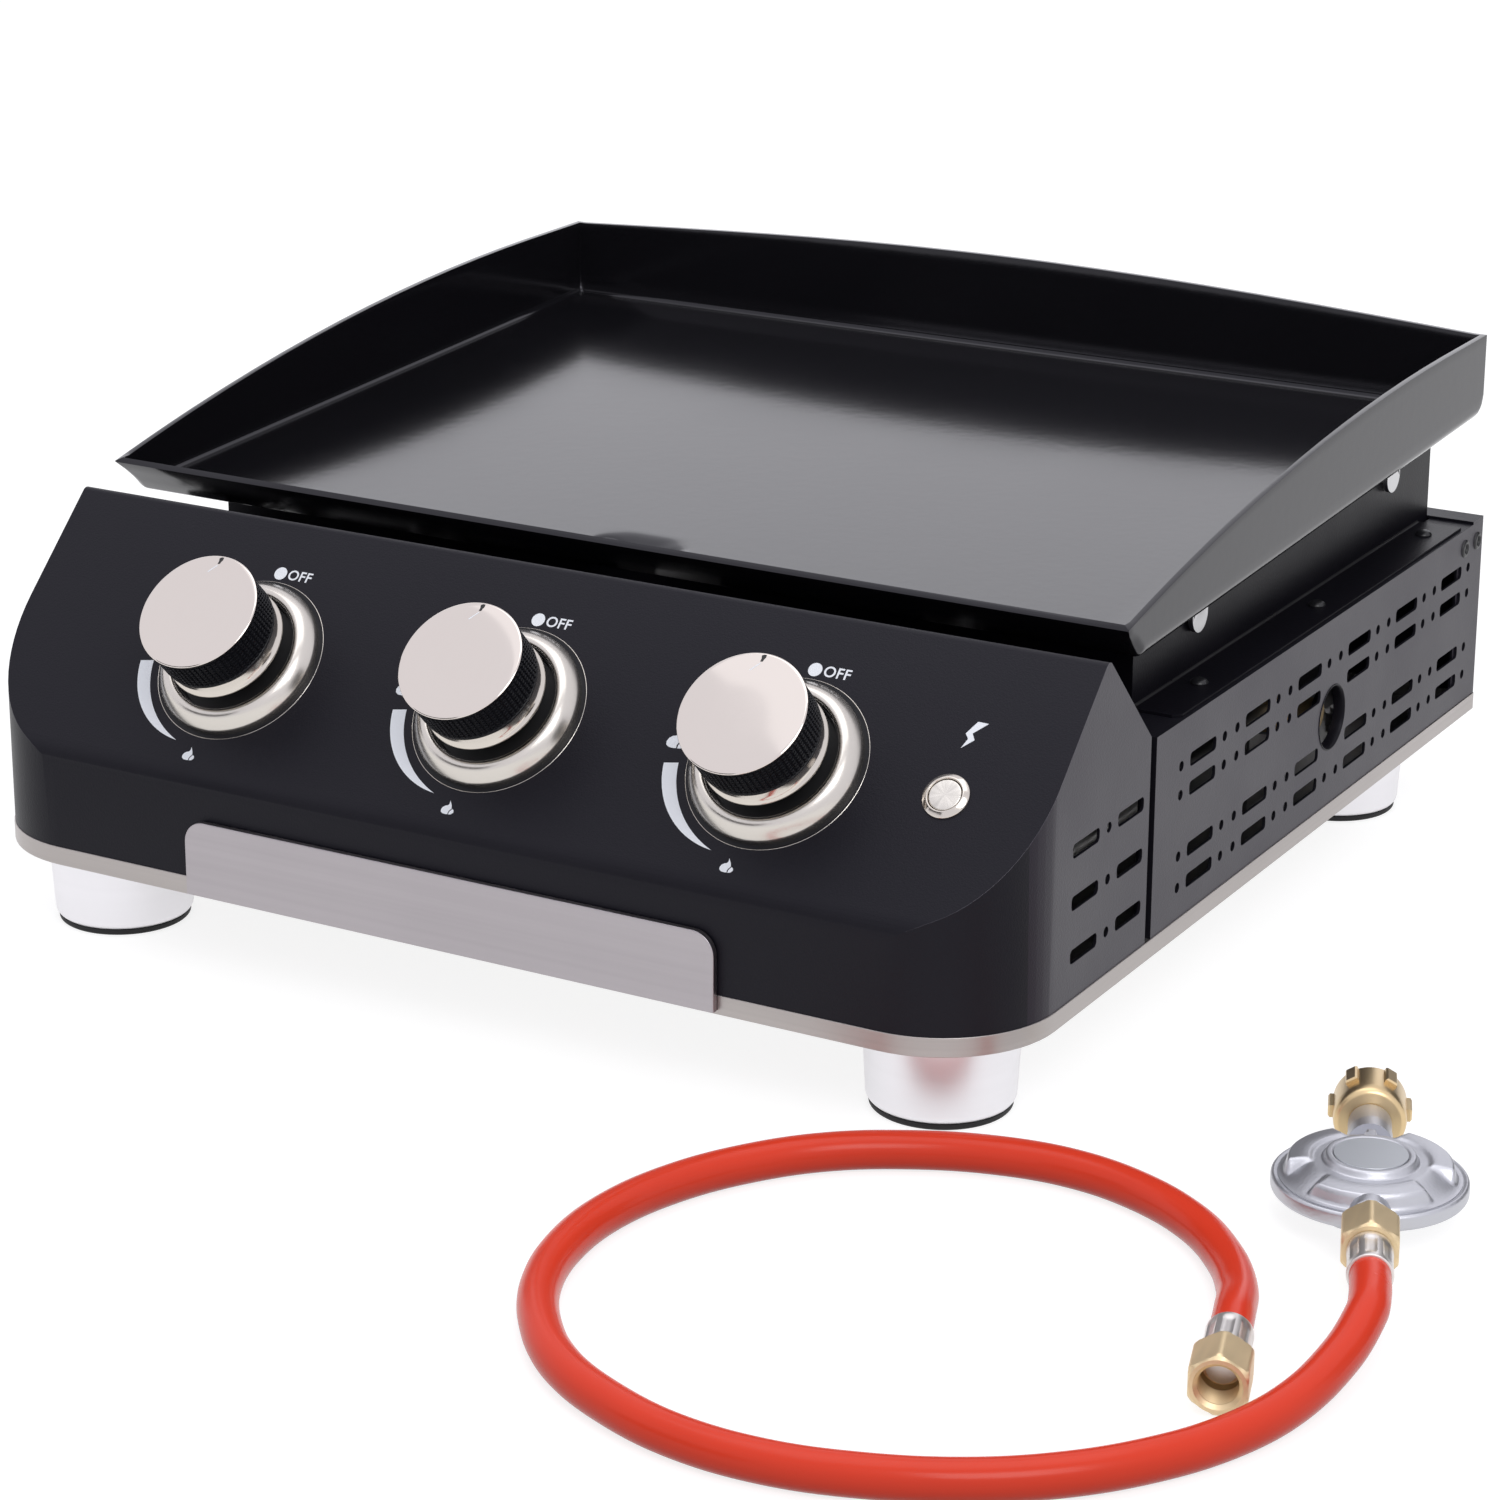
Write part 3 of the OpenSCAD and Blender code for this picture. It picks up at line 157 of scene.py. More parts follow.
class Surface(Enum):
    """The kinds of surface that the object's pieces have."""

    POWDER = "powder coat"
    ENAMEL = "enamel"
    BRUSHED = "brushed along a direction"
    TURNED = "turned round an axis"
    CAST = "cast"
    SMOOTH = "smooth moulding"
    PRINT = "printed"


@dataclass(frozen=True)
class Finish:
    """One finish of the object: its record slot and the numbers of its shader."""

    name: str
    slot: str
    surface: Surface
    colour: Colour
    roughness: float
    metallic: float = 0.0
    specular: float = 0.5
    coat: float = 0.0
    coat_roughness: float = 0.1
    grain: float = 1500.0
    depth: float = 0.2
    vary: float = 0.05
    tint: float = 0.06
    stretch: Point = (1.0, 1.0, 1.0)
    turned: float = 0.0
    gloss: Colour = (1.0, 1.0, 1.0)


COOL: Colour = (0.925, 0.915, 1.0)
POWDER_BLACK = Finish("powder black", "black_powder", Surface.POWDER, (0.0094, 0.0090, 0.0128), 0.42,
                      specular=0.17, gloss=COOL, grain=1700, depth=0.22, vary=0.10, tint=0.10)
# a lighter, glossier copy of the powder coat for faces that look sideways: painted sheen
LIT_SIDE_BLACK = Finish("lit side black", "black_powder", Surface.POWDER, (0.0190, 0.0150, 0.0235), 0.42,
                    specular=0.56, gloss=COOL, grain=1700, depth=0.22, vary=0.10, tint=0.10)
# how far a face looks sideways, and its finish: faces that look sideways get a lighter, glossier copy of the powder
# coat, painted sheen for the light that they catch
LIT_FLANKS = ((0.998, LIT_SIDE_BLACK),)
# steps of lit copies across the housing's rounded corner, so that the painted sheen grows gradually
LIT_ROUND_FLANKS = tuple((turn, replace(LIT_SIDE_BLACK, name="lit side black " + step, specular=gloss)) for turn, step, gloss in (
    (0.93, "a", 0.19), (0.965, "b", 0.235), (0.985, "c", 0.29), (0.996, "d", 0.37))) + LIT_FLANKS
# a still glossier copy for the rounded crease between the housing's front and sides: a painted highlight line
HIGHLIGHT_EDGE_BLACK = replace(LIT_SIDE_BLACK, name="highlight edge black", specular=1.0)
FIREBOX_BLACK = Finish("firebox black", "firebox_black", Surface.POWDER, (0.0064, 0.0060, 0.0088), 0.36,
                       specular=0.11, gloss=COOL, grain=1300, depth=0.18, vary=0.10, tint=0.12)
# a lighter, glossier copy of the firebox paint for the bends: a painted highlight line along them
FOLD_HIGHLIGHT_BLACK = Finish("fold highlight black", "firebox_black", Surface.POWDER, (0.0120, 0.0115, 0.0135), 0.30,
                    specular=0.90, grain=1300, depth=0.10, vary=0.10, tint=0.12)
FASTENER_BLACK = Finish("fastener black", "black_powder", Surface.POWDER, (0.010, 0.010, 0.012), 0.34,
                        specular=0.5, grain=1900, depth=0.10)
ENAMEL_BLACK = Finish("enamel black", "griddle_enamel", Surface.ENAMEL, (0.0050, 0.0048, 0.0062), 0.135,
                      specular=0.44, gloss=COOL, grain=260, depth=0.06, vary=0.03, tint=0.10)
TRIM_STEEL = Finish("trim steel", "trim_steel", Surface.BRUSHED, (0.408, 0.378, 0.366), 0.34, metallic=1.0,
                    grain=700, depth=0.12, vary=0.10, tint=0.08, stretch=(0.02, 0.02, 3.0))
PLATE_STEEL = Finish("plate steel", "trim_steel", Surface.BRUSHED, (0.402, 0.374, 0.392), 0.36, metallic=1.0,
                     grain=900, depth=0.14, vary=0.10, tint=0.06, stretch=(0.015, 1.0, 2.4))
PLAIN_STEEL = Finish("plain steel", "plain_steel", Surface.BRUSHED, (0.50, 0.49, 0.48), 0.38, metallic=1.0,
                     grain=400, depth=0.10, vary=0.12, tint=0.10, stretch=(1.0, 0.08, 1.0))
ZINC_PLATE = Finish("zinc plate", "plain_steel", Surface.CAST, (0.58, 0.58, 0.59), 0.30, metallic=1.0,
                    grain=500, depth=0.05, vary=0.12, tint=0.10)
BEZEL_STEEL = Finish("bezel steel", "bright_chrome", Surface.TURNED, (0.622, 0.587, 0.543), 0.25, metallic=1.0,
                     grain=1.0, depth=0.02, vary=0.05, tint=0.02, stretch=(5.0, 2600.0, 1.0))
SKIRT_CHROME = Finish("skirt chrome", "bright_chrome", Surface.TURNED, (0.622, 0.577, 0.523), 0.14, metallic=1.0,
                      grain=1.0, depth=0.02, vary=0.05, tint=0.02, stretch=(5.0, 2200.0, 1.0))
CAP_STEEL = Finish("cap steel", "knob_cap_steel", Surface.TURNED, (0.695, 0.636, 0.592), 0.075, metallic=1.0,
                   grain=1.0, depth=0.004, vary=0.05, tint=0.008, stretch=(9.0, 900.0, 1.0))
# turned steel whose strong tone along the turn is a painted sunburst highlight, on top of its real anisotropic sheen
BUTTON_STEEL_PAINTED_SUNBURST = Finish("button steel painted sunburst", "knob_cap_steel", Surface.TURNED, (0.66, 0.63, 0.585), 0.24, metallic=1.0,
                      grain=1.0, depth=0.06, vary=0.04, tint=0.34, stretch=(70.0, 30.0, 1.0), turned=0.6)
FOOT_METAL = Finish("foot metal", "foot_metal", Surface.TURNED, (0.84, 0.828, 0.855), 0.40, metallic=1.0,
                    grain=1.0, depth=0.02, vary=0.06, tint=0.03, stretch=(4.0, 900.0, 1.0))
# the knobs' black plastic; also used for the ring of painted shade at the bezels' feet
GRIP_AND_SHADE_BLACK = Finish("grip and shade black", "knob_black", Surface.SMOOTH, (0.0034, 0.0037, 0.0062), 0.38, specular=0.26,
                    grain=900, depth=0.08, vary=0.10)
MOULDED_BLACK = Finish("moulded black", "hidden_plastic", Surface.SMOOTH, (0.016, 0.016, 0.017), 0.5,
                       grain=700, depth=0.10)
FOOT_RUBBER = Finish("foot rubber", "rubber_foot", Surface.SMOOTH, (0.012, 0.012, 0.013), 0.62, specular=0.4,
                     grain=900, depth=0.25, vary=0.12)
LEAD_SKIN = Finish("lead skin", "lead_black", Surface.SMOOTH, (0.014, 0.014, 0.015), 0.42, grain=500, depth=0.08)
CERAMIC = Finish("ceramic", "ceramic_white", Surface.SMOOTH, (0.78, 0.74, 0.67), 0.22, grain=300, depth=0.04)
BRASS = Finish("brass", "brass", Surface.CAST, (0.70, 0.53, 0.30), 0.34, metallic=1.0, grain=650, depth=0.05,
               vary=0.14, tint=0.12)
NUT_BRASS = Finish("nut brass", "brass", Surface.BRUSHED, (0.78, 0.62, 0.385), 0.46, metallic=0.9, grain=900,
                   depth=0.07, vary=0.12, tint=0.10, stretch=(1.0, 0.2, 1.6))
CAST_ZINC = Finish("cast zinc", "cast_zinc", Surface.CAST, (0.53, 0.535, 0.57), 0.40, metallic=0.92, grain=1100,
                   depth=0.16, vary=0.14, tint=0.10)
FERRULE_STEEL = Finish("ferrule steel", "cast_zinc", Surface.CAST, (0.72, 0.69, 0.665), 0.34, metallic=1.0,
                       grain=500, depth=0.04, vary=0.10, tint=0.06)
HOSE_SKIN = Finish("hose skin", "hose_orange", Surface.SMOOTH, (0.74, 0.050, 0.020), 0.24, specular=0.20,
                   coat=0.03, coat_roughness=0.12, grain=160, depth=0.05, vary=0.08, tint=0.08)
LABEL_BLANK = Finish("label blank", "cast_zinc", Surface.PRINT, (0.50, 0.52, 0.55), 0.34, metallic=0.6,
                     grain=600, depth=0.03)
# white for the panel's print, and also for the painted glint on the caps
PRINT_AND_GLINT_WHITE = Finish("print and glint white", "black_powder", Surface.PRINT, (0.86, 0.89, 0.94), 0.45, grain=900, depth=0.05,
                     tint=0.01)
# flat black for painted shade in the screws' and rivets' hollows, and for the painted reflection on the caps
SHADE_AND_REFLECTION_BLACK = Finish("shade and reflection black", "black_powder", Surface.PRINT, (0.006, 0.006, 0.006), 0.35, grain=900, depth=0.02)


class Paintbox:
    """Builds the shared shader groups once, and one material for each finish."""

    patches_per_metre = 14.0
    patches_per_turn = 0.9
    bump_distance = 0.0003

    def __init__(self) -> None:
        """Makes the groups."""
        self.made: dict[str, Material] = {}
        self.grain = self._grain_group()
        self.lines = self._lines_group()
        self.patches = self._patches_group()

    @staticmethod
    def _group(name: str, inputs: dict[str, str], outputs: dict[str, str]) -> NodeTree:
        """An empty shader group with the named sockets.

        Args:
            name: the group's name.
            inputs: socket types by name, for what goes in.
            outputs: socket types by name, for what comes out.

        Returns:
            The group's tree, with an input and an output node.
        """
        tree = bpy.data.node_groups.new(name, "ShaderNodeTree")
        for key, kind in inputs.items():
            tree.interface.new_socket(name=key, in_out="INPUT", socket_type=kind)
        for key, kind in outputs.items():
            tree.interface.new_socket(name=key, in_out="OUTPUT", socket_type=kind)
        tree.nodes.new("NodeGroupInput").name = "In"
        tree.nodes.new("NodeGroupOutput").name = "Out"
        return tree

    def _grain_group(self) -> NodeTree:
        """A fine grain at two scales.

        Returns:
            The group, with the grain's height.
        """
        tree = self._group("Fine grain", {"Vector": VECTOR, "Scale": FLOAT}, {"Height": FLOAT})
        source, out = tree.nodes["In"], tree.nodes["Out"]
        fine = tree.nodes.new("ShaderNodeTexNoise")
        fine.inputs["Detail"].default_value = 2.0
        pits = tree.nodes.new("ShaderNodeTexVoronoi")
        tree.links.new(source.outputs["Vector"], fine.inputs["Vector"])
        tree.links.new(source.outputs["Vector"], pits.inputs["Vector"])
        tree.links.new(source.outputs["Scale"], fine.inputs["Scale"])
        tree.links.new(math_node(tree, "MULTIPLY", source.outputs["Scale"], 0.6), pits.inputs["Scale"])
        height = math_node(tree, "MULTIPLY_ADD", pits.outputs["Distance"], 0.5, fine.outputs["Fac"])
        tree.links.new(height, out.inputs["Height"])
        return tree

    def _lines_group(self) -> NodeTree:
        """Brush or lathe lines: noise drawn out along one direction.

        Returns:
            The group, with the lines' height and a softer shade.
        """
        tree = self._group("Tool lines", {"Vector": VECTOR, "Stretch": VECTOR,
                                          "Scale": FLOAT},
                           {"Height": FLOAT, "Shade": FLOAT})
        source, out = tree.nodes["In"], tree.nodes["Out"]
        stretch = tree.nodes.new("ShaderNodeVectorMath")
        stretch.operation = "MULTIPLY"
        tree.links.new(source.outputs["Vector"], stretch.inputs[0])
        tree.links.new(source.outputs["Stretch"], stretch.inputs[1])
        for key, detail, factor in (("Height", 3.0, 1.0), ("Shade", 1.0, 0.22)):
            noise = tree.nodes.new("ShaderNodeTexNoise")
            noise.inputs["Detail"].default_value = detail
            tree.links.new(stretch.outputs[0], noise.inputs["Vector"])
            tree.links.new(math_node(tree, "MULTIPLY", source.outputs["Scale"], factor), noise.inputs["Scale"])
            tree.links.new(noise.outputs["Fac"], out.inputs[key])
        return tree

    def _patches_group(self) -> NodeTree:
        """Broad, soft patches, for handling marks and slow changes of tone.

        Returns:
            The group, with a value round a given centre and the plain tone.
        """
        tree = self._group("Broad patches", {"Vector": VECTOR, "Scale": FLOAT,
                                             "Centre": FLOAT, "Amount": FLOAT},
                           {"Value": FLOAT, "Tone": FLOAT})
        source, out = tree.nodes["In"], tree.nodes["Out"]
        noise = tree.nodes.new("ShaderNodeTexNoise")
        noise.inputs["Detail"].default_value = 4.0
        noise.inputs["Roughness"].default_value = 0.55
        tree.links.new(source.outputs["Vector"], noise.inputs["Vector"])
        tree.links.new(source.outputs["Scale"], noise.inputs["Scale"])
        swing = math_node(tree, "SUBTRACT", noise.outputs["Fac"], 0.5)
        scaled = math_node(tree, "MULTIPLY", swing, source.outputs["Amount"])
        tree.links.new(math_node(tree, "ADD", scaled, source.outputs["Centre"]), out.inputs["Value"])
        tree.links.new(noise.outputs["Fac"], out.inputs["Tone"])
        return tree

    def _use(self, tree: NodeTree, group: NodeTree, vector: NodeSocket, **values: object) -> Node:
        """Places a group in a material, with its own values.

        Args:
            tree: the material's tree.
            group: the shared group.
            vector: the coordinates it reads.
            values: numbers or vectors by socket name.

        Returns:
            The group node.
        """
        node = tree.nodes.new("ShaderNodeGroup")
        node.node_tree = group
        tree.links.new(vector, node.inputs["Vector"])
        set_inputs(node, values)
        return node

    def paint(self, finish: Finish) -> Material:
        """The material of a finish, made on its first use.

        Args:
            finish: the finish to make.

        Returns:
            Its material.
        """
        if finish.name in self.made:
            return self.made[finish.name]
        material = bpy.data.materials.new(finish.name)
        material.use_nodes = True
        material.diffuse_color = (*finish.colour, 1.0)
        tree = material.node_tree
        shader = tree.nodes["Principled BSDF"]
        set_inputs(shader, {"Metallic": finish.metallic, "Specular IOR Level": finish.specular,
                            "Specular Tint": (*finish.gloss, 1.0), "Coat Weight": finish.coat,
                            "Coat Roughness": finish.coat_roughness})
        if finish.turned:
            shader.inputs["Anisotropic"].default_value = finish.turned
            lathe_way = tree.nodes.new("ShaderNodeTangent")
            lathe_way.direction_type = "UV_MAP"
            lathe_way.uv_map = "Surface"
            tree.links.new(lathe_way.outputs["Tangent"], shader.inputs["Tangent"])
        if finish.surface is Surface.TURNED:
            place = tree.nodes.new("ShaderNodeUVMap")
            place.uv_map = "Surface"
            vector, patches = place.outputs["UV"], self.patches_per_turn
        else:
            place = tree.nodes.new("ShaderNodeTexCoord")
            vector, patches = place.outputs["Object"], self.patches_per_metre
        broad = self._use(tree, self.patches, vector, Scale=patches, Centre=finish.roughness, Amount=finish.vary * 2)
        tree.links.new(broad.outputs["Value"], shader.inputs["Roughness"])
        if finish.surface in (Surface.BRUSHED, Surface.TURNED):
            marks = self._use(tree, self.lines, vector, Stretch=finish.stretch, Scale=finish.grain)
            tone = marks.outputs["Shade"]
        else:
            marks = self._use(tree, self.grain, vector, Scale=finish.grain)
            tone = broad.outputs["Tone"]
        mix = tree.nodes.new("ShaderNodeMix")
        mix.data_type = "RGBA"
        set_inputs(mix, {"A": (*(c * (1 - finish.tint) for c in finish.colour), 1.0),
                         "B": (*(min(1.0, c * (1 + finish.tint)) for c in finish.colour), 1.0)})
        tree.links.new(tone, mix.inputs["Factor"])
        tree.links.new(mix.outputs["Result"], shader.inputs["Base Color"])
        bump = tree.nodes.new("ShaderNodeBump")
        set_inputs(bump, {"Strength": finish.depth, "Distance": self.bump_distance})
        tree.links.new(marks.outputs["Height"], bump.inputs["Height"])
        tree.links.new(bump.outputs["Normal"], shader.inputs["Normal"])
        self.made[finish.name] = material
        return material


# ---------------- mesh tools


class Workshop:
    """Makes plain meshes and finished pieces, each riding on its body."""

    # in a copy of a solid: vertices closer than this are one, and faces that turn less than this are one
    solid_merge = 2e-6
    flat_turn = math.radians(0.6)
    # a rounded edge is part of the rim, which takes the painted highlight finish, where its normal has more than this
    # upwards and sideways
    highlight_tilt = 0.12

    def __init__(self, paints: Paintbox) -> None:
        """Keeps the paints and reads which body each solid rides on.

        Args:
            paints: the paints of all pieces.
        """
        self.paints = paints
        bodies = frame["record"]["behaviour"]["bodies"]
        self.body_of: dict[str, str] = {node: body for body, nodes in bodies.items() for node in nodes}
        self.count = 0

    def mesh(self, name: str, points: Iterable[Sequence[float]], faces: Iterable[Sequence[int]],
             place: Matrix | None = None, sharp: float = 32.0, merge: float = 1e-7) -> Mesh:
        """A clean mesh with outward normals, smooth but for its sharp edges.

        Args:
            name: the mesh's name.
            points: vertex places in the piece's own frame.
            faces: vertex numbers of each face.
            place: carries the piece to the row's frame.
            sharp: edges that turn more than this many degrees stay sharp.
            merge: vertices closer than this become one.

        Returns:
            The mesh.
        """
        mesh = bpy.data.meshes.new(name)
        mesh.from_pydata([tuple(p) for p in points], [], [tuple(f) for f in faces])
        if place is not None:
            mesh.transform(place)
        self.tidy(mesh, sharp, merge)
        return mesh

    @staticmethod
    def tidy(mesh: Mesh, sharp: float = 32.0, merge: float = 1e-7) -> None:
        """Merges doubles, turns the faces outwards and sets the shading.

        Args:
            mesh: the mesh.
            sharp: edges that turn more than this many degrees stay sharp.
            merge: vertices closer than this become one.
        """
        work = bmesh.new()
        work.from_mesh(mesh)
        bmesh.ops.remove_doubles(work, verts=work.verts, dist=merge)
        bmesh.ops.dissolve_degenerate(work, edges=work.edges, dist=merge)
        bmesh.ops.recalc_face_normals(work, faces=work.faces)
        work.to_mesh(mesh)
        work.free()
        mesh.shade_smooth()
        mesh.set_sharp_from_angle(angle=math.radians(sharp))
        mesh.update()

    def lathe(self, name: str, profile: Sequence[Pair], place: Matrix | None = None, steps: int = 96,
              sharp: float = 32.0, radius: Callable[[float, float, float], float] | None = None) -> Mesh:
        """Turns a closed outline round the local Z axis.

        Args:
            name: the mesh's name.
            profile: (radius, height) corners, in order round the outline.
            place: carries the piece to the row's frame, where it isn't drawn there.
            steps: number of steps in a full turn.
            sharp: the shading's sharp angle in degrees.
            radius: changes a corner's radius by its angle, radius and height.

        Returns:
            The mesh, with a UV map named Surface: turn along U, outline length along V.
        """
        runs = [0.0]
        for (r0, z0), (r1, z1) in zip(profile, profile[1:]):
            runs.append(runs[-1] + math.hypot(r1 - r0, z1 - z0))
        closed = profile[0][0] > 1e-9 or profile[-1][0] > 1e-9
        rows = len(profile) + (1 if closed else 0)
        points: list[Point] = []
        for j in range(rows):
            r, z = profile[j % len(profile)]
            for i in range(steps + 1):
                a = math.tau * (i % steps) / steps
                rr = radius(a, r, z) if radius else r
                points.append((rr * math.cos(a), rr * math.sin(a), z))
        faces, turns = [], []
        for j in range(rows - 1):
            v0 = runs[j]
            v1 = runs[j + 1] if j + 1 < len(runs) else runs[j] + math.dist(profile[-1], profile[0])
            for i in range(steps):
                a, b = j * (steps + 1) + i, (j + 1) * (steps + 1) + i
                faces.append((a, a + 1, b + 1, b))
                turns.append(((i / steps, v0), ((i + 1) / steps, v0), ((i + 1) / steps, v1), (i / steps, v1)))
        mesh = bpy.data.meshes.new(name)
        mesh.from_pydata(points, [], faces)
        layer = mesh.uv_layers.new(name="Surface")
        for polygon, corner in zip(mesh.polygons, turns):
            for loop, uv in zip(polygon.loop_indices, corner):
                layer.data[loop].uv = uv
        if place is not None:
            mesh.transform(place)
        self.tidy(mesh, sharp)
        return mesh

    @staticmethod
    def join(name: str, meshes: Iterable[Mesh], sharp: float | None = None) -> Mesh:
        """Several meshes as one.

        Args:
            name: the new mesh's name.
            meshes: the meshes, each in place.
            sharp: the shading's sharp angle in degrees, where it is set anew.

        Returns:
            The mesh.
        """
        work = bmesh.new()
        for mesh in meshes:
            work.from_mesh(mesh)
        joined = bpy.data.meshes.new(name)
        work.to_mesh(joined)
        work.free()
        if sharp is not None:
            joined.set_sharp_from_angle(angle=math.radians(sharp))
        return joined

    def piece(self, name: str, mesh: Mesh, finish: Finish | Sequence[Finish], body: str,
              stands_for: Sequence[str] = ()) -> Object:
        """Makes an object of a mesh, paints it and rides it on its body.

        Args:
            name: the object's name.
            mesh: its mesh, already in place.
            finish: its finish, or one for each material slot.
            body: the body it moves with.
            stands_for: the solids that it replaces.

        Returns:
            The object.
        """
        finishes = [finish] if isinstance(finish, Finish) else list(finish)
        mesh.materials.clear()
        for each in finishes:
            mesh.materials.append(self.paints.paint(each))
        piece = in_scene(name, mesh)
        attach(piece, body)
        if stands_for:
            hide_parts(*stands_for)
        self.count += 1
        log.info("%s: %d faces, on %s", name, len(mesh.polygons), body)
        return piece

    def dress(self, finish: Finish, *nodes: str) -> None:
        """Gives solids whose shape is right their material.

        Args:
            finish: the finish of all of them.
            nodes: their names.
        """
        for node in nodes:
            data = frame["nodes"][node].data
            data.materials.clear()
            data.materials.append(self.paints.paint(finish))
            log.info("%s: dressed in %s", node, finish.name)

    def refine(self, node: str, finish: Finish, edge: float, segments: int = 2,
               crease: float = 38.0, flanks: Sequence[tuple[float, Finish]] = (),
               rim: Finish | None = None) -> Object:
        """A copy of a solid with rounded edges and smooth bends, which stands for it.

        Args:
            node: the solid's name.
            finish: its finish.
            edge: width of the rounded edges, in metres.
            segments: faces across a rounded edge.
            crease: edges that turn more than this many degrees are rounded.
            flanks: how far a face looks left or right, and the finish of such faces, in rising order; these finishes
                are lit copies that paint sheen on the sides.
            rim: the finish of the rounded edges that look both upwards and sideways, where it differs; a glossier copy
                there paints a highlight line along the crease.

        Returns:
            The piece.
        """
        mesh = frame["nodes"][node].data.copy()
        for name in ("custom_normal", "sharp_face", "sharp_edge"):
            if name in mesh.attributes:
                mesh.attributes.remove(mesh.attributes[name])
        work = bmesh.new()
        work.from_mesh(mesh)
        bmesh.ops.remove_doubles(work, verts=work.verts, dist=self.solid_merge)
        bmesh.ops.dissolve_limit(work, angle_limit=self.flat_turn, verts=work.verts, edges=work.edges)
        work.to_mesh(mesh)
        work.free()
        mesh.shade_smooth()
        mesh.set_sharp_from_angle(angle=math.radians(crease))
        scratch = in_scene("scratch", mesh)
        bevel = scratch.modifiers.new("Edges", "BEVEL")
        bevel.harden_normals = True
        bevel.width = edge
        bevel.segments = segments
        bevel.limit_method = "ANGLE"
        bevel.angle_limit = math.radians(crease)
        bevel.use_clamp_overlap = True
        bevel.miter_outer = "MITER_ARC"
        dressed = self.plain(scratch, node + "_dressed")
        # faces that look sideways take the lit copies (painted sheen), and the rim's faces take the highlight copy
        # (painted highlight line)
        coats = [finish] + [coat for _, coat in flanks] + ([rim] if rim else [])
        slots = [len(coats) - 1 if rim and min(face.normal.z, abs(face.normal.x)) > self.highlight_tilt
                 else sum(abs(face.normal.x) > turn for turn, _ in flanks) for face in dressed.polygons]
        piece = self.piece(node + "_dressed", dressed, coats, self.body_of[node], [node])
        dressed.polygons.foreach_set("material_index", slots)
        return piece

    @staticmethod
    def plain(scratch: Object, name: str) -> Mesh:
        """The mesh that an object's modifiers make, with the object removed.

        Args:
            scratch: the object.
            name: the mesh's name.

        Returns:
            The mesh.
        """
        graph = bpy.context.evaluated_depsgraph_get()
        mesh = bpy.data.meshes.new_from_object(scratch.evaluated_get(graph))
        mesh.name = name
        bpy.data.objects.remove(scratch)
        return mesh


def rounded(corners: Sequence[Point], steps: int = 4) -> list[Pair]:
    """An outline with its corners rounded.

    Args:
        corners: (x, y, radius) of each corner, in order.
        steps: number of steps in each rounded corner.

    Returns:
        The outline's points. The first and last corners keep their places.
    """
    line: list[Pair] = []
    for i, (x, y, r) in enumerate(corners):
        if r <= 0 or i in (0, len(corners) - 1):
            line.append((x, y))
            continue
        here = Vector((x, y))
        u = Vector(corners[i - 1][:2]) - here
        v = Vector(corners[i + 1][:2]) - here
        reach = min(r, 0.49 * u.length, 0.49 * v.length)
        u.normalize()
        v.normalize()
        a, b = here + u * reach, here + v * reach
        for k in range(steps + 1):
            t = k / steps
            p = a * (1 - t) ** 2 + here * 2 * t * (1 - t) + b * t * t
            line.append((p.x, p.y))
    return line


def smooth_step(a: float, b: float, v: float) -> float:
    """A smooth step.

    Args:
        a: where it is 0.
        b: where it is 1.
        v: the value that is looked up.

    Returns:
        The step's height at v.
    """
    t = min(max((v - a) / (b - a), 0.0), 1.0)
    return t * t * (3 - 2 * t)


def towards(origin: Sequence[float], way: Sequence[float]) -> Matrix:
    """The frame of a level pipe: Z along it, Y upwards, X to its side.

    Args:
        origin: where the pipe starts.
        way: its direction.

    Returns:
        The matrix of that frame.
    """
    z = Vector(way).normalized()
    y = Vector((0, 0, 1))
    x = y.cross(z).normalized()
    y = z.cross(x)
    turn = Matrix((x, y, z)).transposed().to_4x4()
    return Matrix.Translation(Vector(origin)) @ turn


# ---------------- geometry nodes


